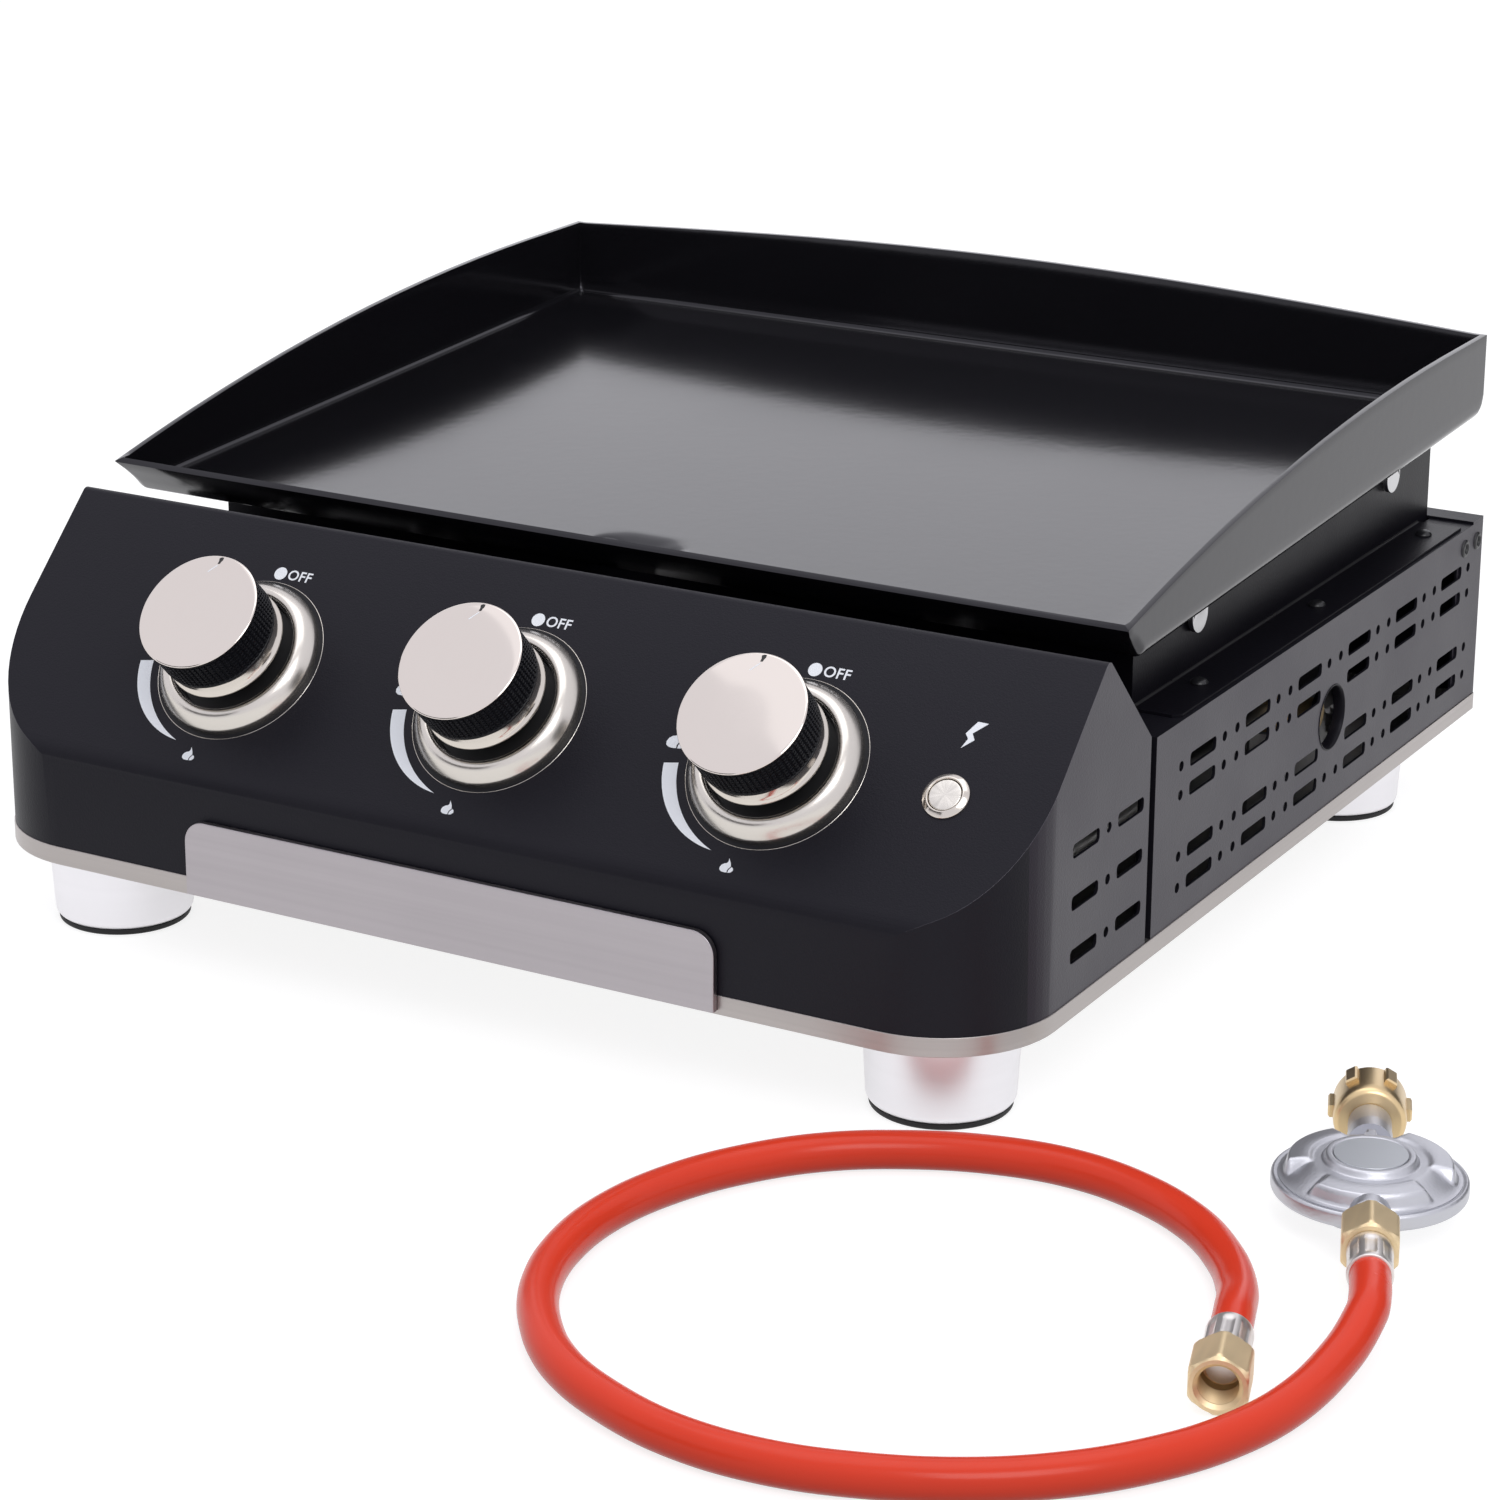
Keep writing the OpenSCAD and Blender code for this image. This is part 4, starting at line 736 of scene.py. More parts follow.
class Repeater:
    """Node trees for what repeats. Each ends in Realize Instances and Set Material."""

    def __init__(self, shop: Workshop) -> None:
        """Builds the two trees.

        Args:
            shop: the workshop.
        """
        self.shop = shop
        self.at_spots = self._spots_tree()
        self.in_rings = self._rings_tree()

    @staticmethod
    def _tree(name: str, inputs: dict[str, str]) -> tuple[NodeTree, Node, Node]:
        """A geometry tree with named inputs and a geometry output.

        Args:
            name: the tree's name.
            inputs: socket types by name.

        Returns:
            The tree, its input node and its output node.
        """
        tree = bpy.data.node_groups.new(name, "GeometryNodeTree")
        tree.interface.new_socket(name="Geometry", in_out="INPUT", socket_type="NodeSocketGeometry")
        for key, kind in inputs.items():
            tree.interface.new_socket(name=key, in_out="INPUT", socket_type=kind)
        tree.interface.new_socket(name="Geometry", in_out="OUTPUT", socket_type="NodeSocketGeometry")
        return tree, tree.nodes.new("NodeGroupInput"), tree.nodes.new("NodeGroupOutput")

    @staticmethod
    def _finish(tree: NodeTree, source: Node, out: Node, geometry: NodeSocket) -> None:
        """Ends a tree: the instances are made real and given their material.

        Args:
            tree: the tree.
            source: its input node.
            out: its output node.
            geometry: the instances.
        """
        real = tree.nodes.new("GeometryNodeRealizeInstances")
        paint = tree.nodes.new("GeometryNodeSetMaterial")
        tree.links.new(geometry, real.inputs["Geometry"])
        tree.links.new(real.outputs["Geometry"], paint.inputs["Geometry"])
        tree.links.new(source.outputs["Material"], paint.inputs["Material"])
        tree.links.new(paint.outputs["Geometry"], out.inputs["Geometry"])

    def _stand(self, tree: NodeTree, source: Node, points: NodeSocket, euler: NodeSocket) -> Node:
        """Stands the part at each of several points.

        Args:
            tree: the tree.
            source: its input node, with the part.
            points: the points.
            euler: the turn at each of them.

        Returns:
            The node that makes the instances.
        """
        rotation = tree.nodes.new("FunctionNodeEulerToRotation")
        tree.links.new(euler, rotation.inputs["Euler"])
        part = tree.nodes.new("GeometryNodeObjectInfo")
        tree.links.new(source.outputs["Part"], part.inputs["Object"])
        instance = tree.nodes.new("GeometryNodeInstanceOnPoints")
        tree.links.new(points, instance.inputs["Points"])
        tree.links.new(part.outputs["Geometry"], instance.inputs["Instance"])
        tree.links.new(rotation.outputs["Rotation"], instance.inputs["Rotation"])
        return instance

    def _spots_tree(self) -> NodeTree:
        """Sets one part at each vertex of a spot mesh, turned by the vertex's own vector.

        Returns:
            The tree.
        """
        tree, source, out = self._tree("Parts at spots", {
            "Part": "NodeSocketObject", "Size": FLOAT, "Material": "NodeSocketMaterial"})
        turn = tree.nodes.new("GeometryNodeInputNamedAttribute")
        turn.data_type = "FLOAT_VECTOR"
        turn.inputs["Name"].default_value = "turn"
        instance = self._stand(tree, source, source.outputs["Geometry"], turn.outputs["Attribute"])
        tree.links.new(source.outputs["Size"], instance.inputs["Scale"])
        self._finish(tree, source, out, instance.outputs["Instances"])
        return tree

    def _rings_tree(self) -> NodeTree:
        """Sets rows of one part round the Z axis, each row shifted against the last.

        Returns:
            The tree.
        """
        tree, source, out = self._tree("Parts in rings", {
            "Part": "NodeSocketObject", "Radius": FLOAT, "Around": "NodeSocketInt",
            "Rows": "NodeSocketInt", "Rise": FLOAT, "Shift": FLOAT,
            "Material": "NodeSocketMaterial"})
        given = source.outputs
        line = tree.nodes.new("GeometryNodePoints")
        tree.links.new(math_node(tree, "MULTIPLY", given["Around"], given["Rows"]), line.inputs["Count"])
        index = tree.nodes.new("GeometryNodeInputIndex").outputs[0]
        row = math_node(tree, "FLOOR", math_node(tree, "DIVIDE", index, given["Around"]))
        spot = math_node(tree, "ADD", index, math_node(tree, "MULTIPLY", row, given["Shift"]))
        angle = math_node(tree, "MULTIPLY", math_node(tree, "DIVIDE", spot, given["Around"]), math.tau)
        place = tree.nodes.new("ShaderNodeCombineXYZ")
        for axis, way in (("X", "COSINE"), ("Y", "SINE")):
            reach = math_node(tree, "MULTIPLY", math_node(tree, way, angle), given["Radius"])
            tree.links.new(reach, place.inputs[axis])
        tree.links.new(math_node(tree, "MULTIPLY", row, given["Rise"]), place.inputs["Z"])
        euler = tree.nodes.new("ShaderNodeCombineXYZ")
        tree.links.new(angle, euler.inputs["Z"])
        set_place = tree.nodes.new("GeometryNodeSetPosition")
        tree.links.new(line.outputs[0], set_place.inputs["Geometry"])
        tree.links.new(place.outputs[0], set_place.inputs["Position"])
        instance = self._stand(tree, source, set_place.outputs[0], euler.outputs[0])
        self._finish(tree, source, out, instance.outputs["Instances"])
        return tree

    def _run(self, tree: NodeTree, base: Mesh, part: Mesh, finish: Finish,
             name: str, place: Matrix | None, **values: object) -> Mesh:
        """Runs a tree on a base mesh and returns the plain result.

        Args:
            tree: the geometry tree.
            base: the mesh that the modifier sits on.
            part: the mesh that is repeated.
            finish: the finish of the result.
            name: the result's name.
            place: carries the result to the row's frame.
            values: the tree's other inputs, by name with spaces as underscores.

        Returns:
            The mesh.
        """
        sample = in_scene("sample", part)
        carrier = in_scene("carrier", base)
        modifier = carrier.modifiers.new("Repeat", "NODES")
        modifier.node_group = tree
        given = {"Part": sample, "Material": self.shop.paints.paint(finish), **values}
        for item in tree.interface.items_tree:
            if item.in_out == "INPUT" and item.name in given:
                modifier[item.identifier] = given[item.name]
        mesh = self.shop.plain(carrier, name)
        bpy.data.objects.remove(sample)
        if place is not None:
            mesh.transform(place)
        mesh.update()
        return mesh

    def spots(self, name: str, part: Mesh, finish: Finish,
              places: Sequence[tuple[Point, Point]], size: float = 1.0) -> Mesh:
        """One part at each of several places.

        Args:
            name: the result's name.
            part: the part's mesh, in its own frame.
            finish: its finish.
            places: the position and the Euler turn of each.
            size: a scale for all of them.

        Returns:
            The mesh.
        """
        base = bpy.data.meshes.new(name + "_spots")
        base.from_pydata([p for p, _ in places], [], [])
        turns = base.attributes.new("turn", "FLOAT_VECTOR", "POINT")
        for item, (_, turn) in zip(turns.data, places):
            item.vector = turn
        return self._run(self.at_spots, base, part, finish, name, None, Size=size)

    def rings(self, name: str, part: Mesh, finish: Finish, place: Matrix, radius: float,
              around: int, rows: int = 1, rise: float = 0.0, shift: float = 0.5) -> Mesh:
        """Rows of one part round an axis.

        Args:
            name: the result's name.
            part: the part's mesh, drawn with the axis to its left.
            finish: its finish.
            place: the axis's frame.
            radius: distance of the parts from the axis.
            around: number in a row.
            rows: number of rows.
            rise: distance between rows.
            shift: how far each row is turned on, in steps.

        Returns:
            The mesh.
        """
        base = bpy.data.meshes.new(name + "_base")
        return self._run(self.in_rings, base, part, finish, name, place, Radius=radius, Around=around,
                         Rows=rows, Rise=rise, Shift=shift)


# ---------------- the griddle plate


class Column(Enum):
    """Where a column of the pan's grid runs."""

    WALL = "up a side wall"
    ARC = "round a side bend"
    FLOOR = "along the floor"
    DRAIN = "across the drain's patch"


@dataclass
class GriddlePlate:
    """The enamelled pan: a sloping floor, three walls, a raised lip and a drain. Its sizes are in millimetres."""

    shop: Workshop
    half_width: float = 228.5
    sheet: float = 2.5
    front: float = 117.3
    height: float = 155.5
    depth: float = 343.6
    fall: float = math.radians(2.22)
    tip: Pair = (102.9, 169.9)
    wall_top: float = 204.95
    curve: float = 1468.0
    curve_from: float = 419.9
    arch: float = 8.6
    arch_inset: float = 5.0
    bend: float = 5.2
    # the lip's bend on the outer and on the inner face
    lip_radii: Pair = (3.2, 2.0)
    # the slot's length, width and distance behind the front, and the sunk patch round it
    drain: Point = (36.0, 8.5, 138.5)
    drain_corner: float = 5.0
    patch: Pair = (47.0, 36.0)
    patch_corner: float = 14.0
    # the grid's steps
    wall_steps: int = 8
    arc_steps: int = 6
    side_steps: int = 8
    patch_steps: tuple[int, int] = (14, 8)
    floor_steps: int = 14
    # how far in from the patch's edge to the slot's, and how deep
    dimple: tuple[Pair, ...] = ((0.0, 0.0), (0.15, 0.04), (0.30, 0.20), (0.46, 0.60), (0.62, 1.25), (0.78, 1.95),
                                (0.90, 2.45), (0.97, 2.65), (1.0, 2.8))

    def top_at(self, y: float) -> float:
        """Height of the side walls' top edge.

        Args:
            y: a distance behind the front.

        Returns:
            The height there.
        """
        if y >= self.curve_from:
            return self.wall_top
        return self.wall_top - self.curve + math.sqrt(self.curve**2 - (self.curve_from - y) ** 2)

    def path(self, inner: bool) -> list[Pair]:
        """The floor's line from the lip's tip to the foot of the back wall.

        Args:
            inner: whether it is the line of the inside face.

        Returns:
            (distance behind the front, height) points, the same number on both faces.
        """
        t = self.sheet if inner else 0.0
        slope = math.tan(self.fall)
        back = self.front + self.depth - t
        rise = t / math.cos(self.fall)
        lip = t / math.sqrt(2)
        tip = (self.tip[0] + lip, self.tip[1] + lip)
        join = (tip[0] + tip[1] - self.height - rise + self.front * slope) / (1 + slope)
        bend = self.bend - t
        low, high = self.drain[2] - self.patch[1] / 2, self.drain[2] + self.patch[1] / 2

        def floor(y: float) -> Pair:
            """The floor's point at a distance behind the front."""
            return y, self.height + (y - self.front) * slope + rise

        start = rounded([(*tip, 0), (*floor(join), self.lip_radii[inner]), (*floor(low), 0)], 4)
        (y0, z0), (y1, z1) = start[:2]
        line = [(y0 + (y1 - y0) * k / 3, z0 + (z1 - z0) * k / 3) for k in range(3)] + start[1:-1]
        n = self.patch_steps[1]
        line += [floor(low + (high - low) * k / n) for k in range(n + 1)]
        stop = back - bend
        n = self.floor_steps
        line += [floor(high + (stop - high) * k / n) for k in range(1, n + 1)]
        turn = math.pi / 2 - self.fall
        for k in range(1, self.arc_steps + 1):
            a = turn * k / self.arc_steps + self.fall
            line.append((stop + bend * math.sin(a) - bend * math.sin(self.fall),
                         floor(stop)[1] + bend * math.cos(self.fall) - bend * math.cos(a)))
        return line[:-1] + [(back, line[-1][1])]

    def columns(self) -> list[tuple[Column, int, float]]:
        """The grid's columns, from the left wall's top to the right wall's top.

        Returns:
            The kind of each column, its side as a sign, and its place along that kind.
        """
        half, n = self.patch[0] / 2, self.patch_steps[0]
        walls = [(Column.WALL, 1 - k / self.wall_steps) for k in range(self.wall_steps)]
        arc = [(Column.ARC, k / self.arc_steps) for k in range(self.arc_steps + 1)]
        floor = [(Column.FLOOR, 1 - k / self.side_steps) for k in range(1, self.side_steps)]
        middle = [(Column.DRAIN, 1, -half + 2 * half * k / n) for k in range(n + 1)]
        one = walls + arc + floor
        return [(kind, -1, v) for kind, v in one] + middle + [(kind, 1, v) for kind, v in reversed(one)]

    def row(self, y: float, z: float, inner: bool) -> list[Point]:
        """The points of one cross-section.

        Args:
            y: its distance behind the front.
            z: the floor's height there.
            inner: whether it is on the inside face.

        Returns:
            The points, one for each column.
        """
        t = self.sheet if inner else 0.0
        w = self.half_width - t
        top = max(self.top_at(y), z + 1e-4)
        r = min(self.bend - t, 0.6 * (top - z))
        half = self.patch[0] / 2
        points: list[Point] = []
        for kind, side, value in self.columns():
            if kind is Column.WALL:
                points.append((side * w, y, z + r + (top - z - r) * value))
            elif kind is Column.ARC:
                a = value * math.pi / 2
                points.append((side * (w - r + r * math.cos(a)), y, z + r - r * math.sin(a)))
            elif kind is Column.FLOOR:
                points.append((side * (half + (w - r - half) * value), y, z))
            else:
                points.append((value, y, z))
        return points

    def face(self, inner: bool) -> tuple[list[Point], list[Face], list[int], list[int]]:
        """One face of the sheet, with its outer rim and the rim of its drain.

        Args:
            inner: whether it is the inside face.

        Returns:
            Points, faces, the outer rim's vertices and the drain rim's vertices.
        """
        line = self.path(inner)
        rows = [self.row(y, z, inner) for y, z in line]
        wide = len(rows[0])
        points = [p for row in rows for p in row]
        drain_cols = [i for i, (kind, _, _) in enumerate(self.columns()) if kind is Column.DRAIN]
        low, high = self.drain[2] - self.patch[1] / 2, self.drain[2] + self.patch[1] / 2
        drain_rows = [j for j, (y, _) in enumerate(line) if low - 1e-6 <= y <= high + 1e-6]
        c0, c1, r0, r1 = drain_cols[0], drain_cols[-1], drain_rows[0], drain_rows[-1]
        faces: list[Face] = []

        def at(j: int, i: int) -> int:
            """The number of the point in a row and a column."""
            return j * wide + i

        for j in range(len(rows) - 1):
            for i in range(wide - 1):
                if r0 <= j < r1 and c0 <= i < c1:
                    continue
                faces.append((at(j, i), at(j, i + 1), at(j + 1, i + 1), at(j + 1, i)))
        # the drain: rings from the patch's edge to the slot's outline
        edge = ([at(r0, i) for i in range(c0, c1)] + [at(j, c1) for j in range(r0, r1)]
                + [at(r1, i) for i in range(c1, c0, -1)] + [at(j, c0) for j in range(r1, r0, -1)])
        length, width, centre_y = self.drain
        previous = edge
        for step, sink in self.dimple:
            current = []
            for v in edge:
                x, y, z = points[v]
                sx, sy = self.slot_point(x, y - centre_y, self.patch[0] / 2 - 1, self.patch[1] / 2 - 1,
                                         self.patch_corner)
                px, py = self.slot_point(x, y - centre_y, length / 2, width / 2, self.drain_corner)
                current.append(len(points))
                points.append((sx + (px - sx) * step, centre_y + sy + (py - sy) * step,
                               z + (centre_y + sy + (py - sy) * step - y) * math.tan(self.fall) - sink))
            for k in range(len(edge)):
                n = (k + 1) % len(edge)
                faces.append((previous[k], previous[n], current[n], current[k]))
            previous = current
        # the back wall: rows above the foot, between the two side walls
        base = [at(len(rows) - 1, i) for i in range(wide)]
        y = line[-1][0]
        foot = self.wall_steps
        between = base[foot + 1:wide - foot - 1]
        lower = [base[foot], *between, base[wide - 1 - foot]]
        for level in range(1, foot + 1):
            left, right = base[foot - level], base[wide - 1 - foot + level]
            current = [left]
            for v in between:
                x = points[v][0]
                inside = max(0.0, math.cos(math.pi * x / (2 * (self.half_width - self.arch_inset))))
                current.append(len(points))
                points.append((x, y, points[left][2] + self.arch * inside * (level / foot) ** 2))
            current.append(right)
            faces += [(lower[k], lower[k + 1], current[k + 1], current[k]) for k in range(len(current) - 1)]
            lower = current
        rim = ([at(j, 0) for j in range(len(rows) - 1)] + lower
               + [at(j, wide - 1) for j in range(len(rows) - 2, -1, -1)]
               + [at(0, i) for i in range(wide - 2, 0, -1)])
        return points, faces, rim, previous

    @staticmethod
    def slot_point(x: float, y: float, half_l: float, half_w: float, r: float) -> Pair:
        """The point of a rounded slot's outline in a given direction.

        Args:
            x: the direction's part along the slot.
            y: the direction's part across it.
            half_l: half the slot's length.
            half_w: half its width.
            r: the radius of its corners.

        Returns:
            The point, from the slot's middle.
        """
        if abs(x) / half_l > abs(y) / half_w:
            px, py = math.copysign(half_l, x), y * half_l / max(abs(x), 1e-9)
        else:
            px, py = x * half_w / max(abs(y), 1e-9), math.copysign(half_w, y)
        cx, cy = half_l - r, half_w - r
        if abs(px) > cx and abs(py) > cy:
            dx, dy = abs(px) - cx, abs(py) - cy
            d = math.hypot(dx, dy)
            px, py = math.copysign(cx + dx * r / d, px), math.copysign(cy + dy * r / d, py)
        return px, py

    def build(self) -> None:
        """Builds the pan and dresses its locating lugs."""
        outer, outer_faces, outer_rim, outer_hole = self.face(False)
        inner, inner_faces, inner_rim, inner_hole = self.face(True)
        shift = len(outer)
        points = outer + inner
        faces = outer_faces + [tuple(v + shift for v in f) for f in inner_faces]
        for a, b in ((outer_rim, inner_rim), (outer_hole, inner_hole)):
            for k in range(len(a)):
                n = (k + 1) % len(a)
                faces.append((a[k], a[n], b[n] + shift, b[k] + shift))
        place = Matrix.Translation((0, LAYOUT.front, 0)) @ Matrix.Scale(MM, 4)
        mesh = self.shop.mesh("griddle_pan", points, faces, place, sharp=40, merge=2e-6)
        scratch = in_scene("scratch", mesh)
        edge = scratch.modifiers.new("Rim", "BEVEL")
        edge.width = 0.0006
        edge.segments = 3
        edge.limit_method = "ANGLE"
        edge.angle_limit = math.radians(60)
        dressed = self.shop.plain(scratch, "griddle_pan")
        dressed.shade_smooth()
        dressed.set_sharp_from_angle(angle=math.radians(42))
        self.shop.piece("griddle_pan", dressed, ENAMEL_BLACK, "griddle", ["griddle_plate"])
        self.shop.refine("locating_lugs", ZINC_PLATE, 0.0003)


# ---------------- the knobs


class Mark(Enum):
    """What is printed on the control panel."""

    DOT = "dot"
    WORD = "word"
    SWEEP = "sweep"
    SMALL_FLAME = "small flame"
    LARGE_FLAME = "large flame"
    BOLT = "bolt"


@dataclass
class Knob:
    """One push-and-turn knob with its bezel."""

    shop: Workshop
    repeat: Repeater
    side: str
    radius: float = 0.0249
    face: float = 0.0375
    cap: float = 0.0022
    edge: float = 0.0011
    grip: float = 0.0154
    skirt: float = 0.0074
    bezel: float = 0.0356
    bezel_in: float = 0.026
    bezel_rise: float = 0.0078
    dome: float = 1.93
    dome_from: float = 0.010
    teeth: tuple[int, int] = (70, 8)
    tooth_rise: float = 0.00164

    def build(self) -> None:
        """Builds the cap with its painted reflection and glint, the knurled grip, the skirt and the bezel."""
        x = SIDES[self.side]
        place = LAYOUT.on_panel(x, LAYOUT.knob_up)
        body = "knob_" + self.side
        top, under = self.face, self.face - self.cap
        r = self.radius
        seam = top - self.edge
        face = [(r * k / 12, top - self.drop(r * k / 12), 0) for k in range(12)]
        cap = rounded(face + [(r - 0.0005, top - self.drop(r), 0.0002), (r, top - self.drop(r) - 0.0003, 0.0003),
                              (r, seam, 0.0002), (r - 0.0012, seam, 0), (0, seam, 0)], 4)
        self.shop.piece("cap_" + self.side, self.shop.lathe("cap", cap, place, 128), CAP_STEEL, body,
                        ["knob_cap_" + self.side])
        # a painted reflection and a painted glint, laid on the cap's face as thin plates
        self.pointer(place, top, body)
        low = under - self.grip
        hub = low - self.skirt - 0.003
        core = rounded([(0, seam + 0.0001, 0), (r - 0.00035, seam + 0.0001, 0.0002),
                        (r - 0.00035, under - 0.0002, 0.0002), (r - 0.0010, under - 0.0006, 0.0001),
                        (r - 0.0010, low + 0.0012, 0.0001),
                        (r - 0.0005, low + 0.0009, 0.0002), (r - 0.0006, low, 0.0003), (r - 0.005, low, 0),
                        (r - 0.005, hub, 0.0006), (0.009, hub, 0), (0, hub, 0)], 3)
        self.shop.piece("grip_core_" + self.side, self.shop.lathe("grip", core, place, 96), GRIP_AND_SHADE_BLACK, body,
                        ["knob_grip_" + self.side])
        knurl = self.repeat.rings("knurl_" + self.side, self.stud(), GRIP_AND_SHADE_BLACK,
                                  place @ Matrix.Translation((0, 0, low + 0.0020)), r - 0.00105, *self.teeth,
                                  rise=self.tooth_rise, shift=0.0)
        self.shop.piece("knurl_" + self.side, knurl, GRIP_AND_SHADE_BLACK, body)
        base = low - self.skirt
        skirt = rounded([(r - 0.0049, low, 0), (r - 0.0014, low, 0.0002), (r - 0.0028, low - 0.0016, 0.0014),
                         (r - 0.0016, base + 0.0022, 0.0016), (r - 0.0004, base + 0.0010, 0.0006),
                         (r - 0.0005, base + 0.0003, 0.0003), (r - 0.0012, base, 0.0002),
                         (r - 0.0049, base, 0)], 5)
        self.shop.piece("skirt_ring_" + self.side, self.shop.lathe("skirt", skirt, place, 128), SKIRT_CHROME, body,
                        ["knob_skirt_" + self.side])
        self.rim(place)

    def drop(self, distance: float) -> float:
        """How far the cap's gently domed face lies below its middle at a distance from it."""
        return self.dome * max(0.0, distance - self.dome_from) ** 2

    @staticmethod
    def stud() -> Mesh:
        """One blunt tooth of the knurl, standing out along X.

        Returns:
            Its mesh, open at the foot, which is inside the grip.
        """
        w, h, d, top = 0.00082, 0.00058, 0.00060, 0.60
        points = [(0, -w, -h), (0, -w, h), (0, w, h), (0, w, -h), (d, -w * top, -h * top), (d, -w * top, h * top),
                  (d, w * top, h * top), (d, w * top, -h * top)]
        faces = [(4, 5, 6, 7), (0, 1, 5, 4), (1, 2, 6, 5), (2, 3, 7, 6), (3, 0, 4, 7)]
        mesh = bpy.data.meshes.new("stud")
        mesh.from_pydata(points, [], [f[::-1] for f in faces])
        return mesh

    def pointer(self, place: Matrix, top: float, body: str) -> None:
        """Painted light near the edge of the cap: a dark drop, which is a painted reflection of something dark, and a
        light streak, which is a painted glint.

        Args:
            place: the knob's frame.
            top: the height of the cap's middle.
            body: the body that the knob turns with.
        """
        drop = [(-0.0011, 0.0211), (-0.0001, 0.0212), (0.0001, 0.0222), (0.0005, 0.0230), (0.0004, 0.0242),
                (-0.0006, 0.0242), (-0.0014, 0.0236), (-0.0010, 0.0223)]
        glint_outline = [(-0.0005, 0.0204), (-0.0009, 0.0206), (-0.0038, 0.0171), (-0.0034, 0.0168)]

        def surface(x: float, y: float) -> float:
            """The height of the cap's face."""
            return top - self.drop(math.hypot(x, y))

        # the dark drop is a painted reflection and the light streak a painted glint
        for name, line, finish in (("pointer_", drop, SHADE_AND_REFLECTION_BLACK), ("pointer_stroke_", glint_outline, PRINT_AND_GLINT_WHITE)):
            mesh = flat_plate(self.shop, name, line, place, (-0.0001, 0.00004), surface)
            self.shop.piece(name + self.side, mesh, finish, body)

    def rim(self, place: Matrix) -> None:
        """The pressed bezel with its thin lip, convex band and dark well, and a flat black ring of painted shade at the
        band's foot.

        Args:
            place: the knob's frame.
        """
        out, into, rise = self.bezel, self.bezel_in, self.bezel_rise
        band = []
        start, low = out - 0.0021, 0.0025
        for k in range(17):
            t = k / 16
            band.append((start + (into + 0.0006 - start) * t,
                         low + (rise - low) * math.sin(t * math.pi / 2) ** 0.9 + 0.0006 * math.sin(t * math.pi)))
        top = [(into, rise - 0.0004), (into - 0.0003, rise - 0.0012), (into - 0.0004, 0.0012), (0.0100, 0.0010),
               (0.0100, 0.0), (into + 0.0010, 0.0), (into + 0.0010, rise - 0.0020), (start - 0.001, low - 0.001),
               (start - 0.001, 0.0)]
        outline = [(start + 0.0001, 0.0), (start, low - 0.0004)] + band + top
        mesh = self.shop.lathe("bezel", outline, place, 160, sharp=48)
        self.shop.piece("bezel_ring_" + self.side, mesh, BEZEL_STEEL, "base", ["bezel_" + self.side])
        bead = [(out - 0.0002, 0.0), (out, 0.0), (out, 0.0001), (out - 0.0001, 0.00016), (out - 0.0002, 0.0001)]
        self.shop.piece("bezel_foot_" + self.side, self.shop.lathe("foot", bead, place, 160), BEZEL_STEEL, "base")
        # a flat black ring under the band's foot: painted shade in the gap between the band and the lip
        seat = [(start - 0.0004, 0.0), (out - 0.00015, 0.0), (out - 0.00015, 0.00008), (start - 0.0004, 0.00008)]
        self.shop.piece("bezel_seat_" + self.side, self.shop.lathe("seat", seat, place, 128), GRIP_AND_SHADE_BLACK, "base")
        well = rounded([(0.0098, 0.0013, 0), (into - 0.0008, 0.0013, 0.0004), (into - 0.0005, 0.0056, 0.0002),
                        (into - 0.0009, 0.0056, 0.0002), (into - 0.0013, 0.0016, 0.0004), (0.0098, 0.0016, 0)], 3)
        self.shop.piece("bezel_well_" + self.side, self.shop.lathe("well", well, place, 96), MOULDED_BLACK, "base")


def flat_plate(shop: Workshop, name: str, outline: Sequence[Pair], place: Matrix | None, span: Pair,
               surface: Callable[[float, float], float] | None = None) -> Mesh:
    """A thin plate with the given outline.

    Args:
        shop: the workshop.
        name: the mesh's name.
        outline: its corners in order, in its own X and Y.
        place: carries it to the row's frame.
        span: the heights of its under side and its top.
        surface: the height of the face it follows, where that isn't flat.

    Returns:
        The mesh.
    """
    n = len(outline)
    points = [(x, y, z + surface(x, y) if surface else z) for z in span for x, y in outline]
    faces: list[Face] = [tuple(range(n))[::-1], tuple(range(n, 2 * n))]
    faces += [(i, (i + 1) % n, n + (i + 1) % n, n + i) for i in range(n)]
    return shop.mesh(name, points, faces, place, merge=1e-8)


# ---------------- the control panel


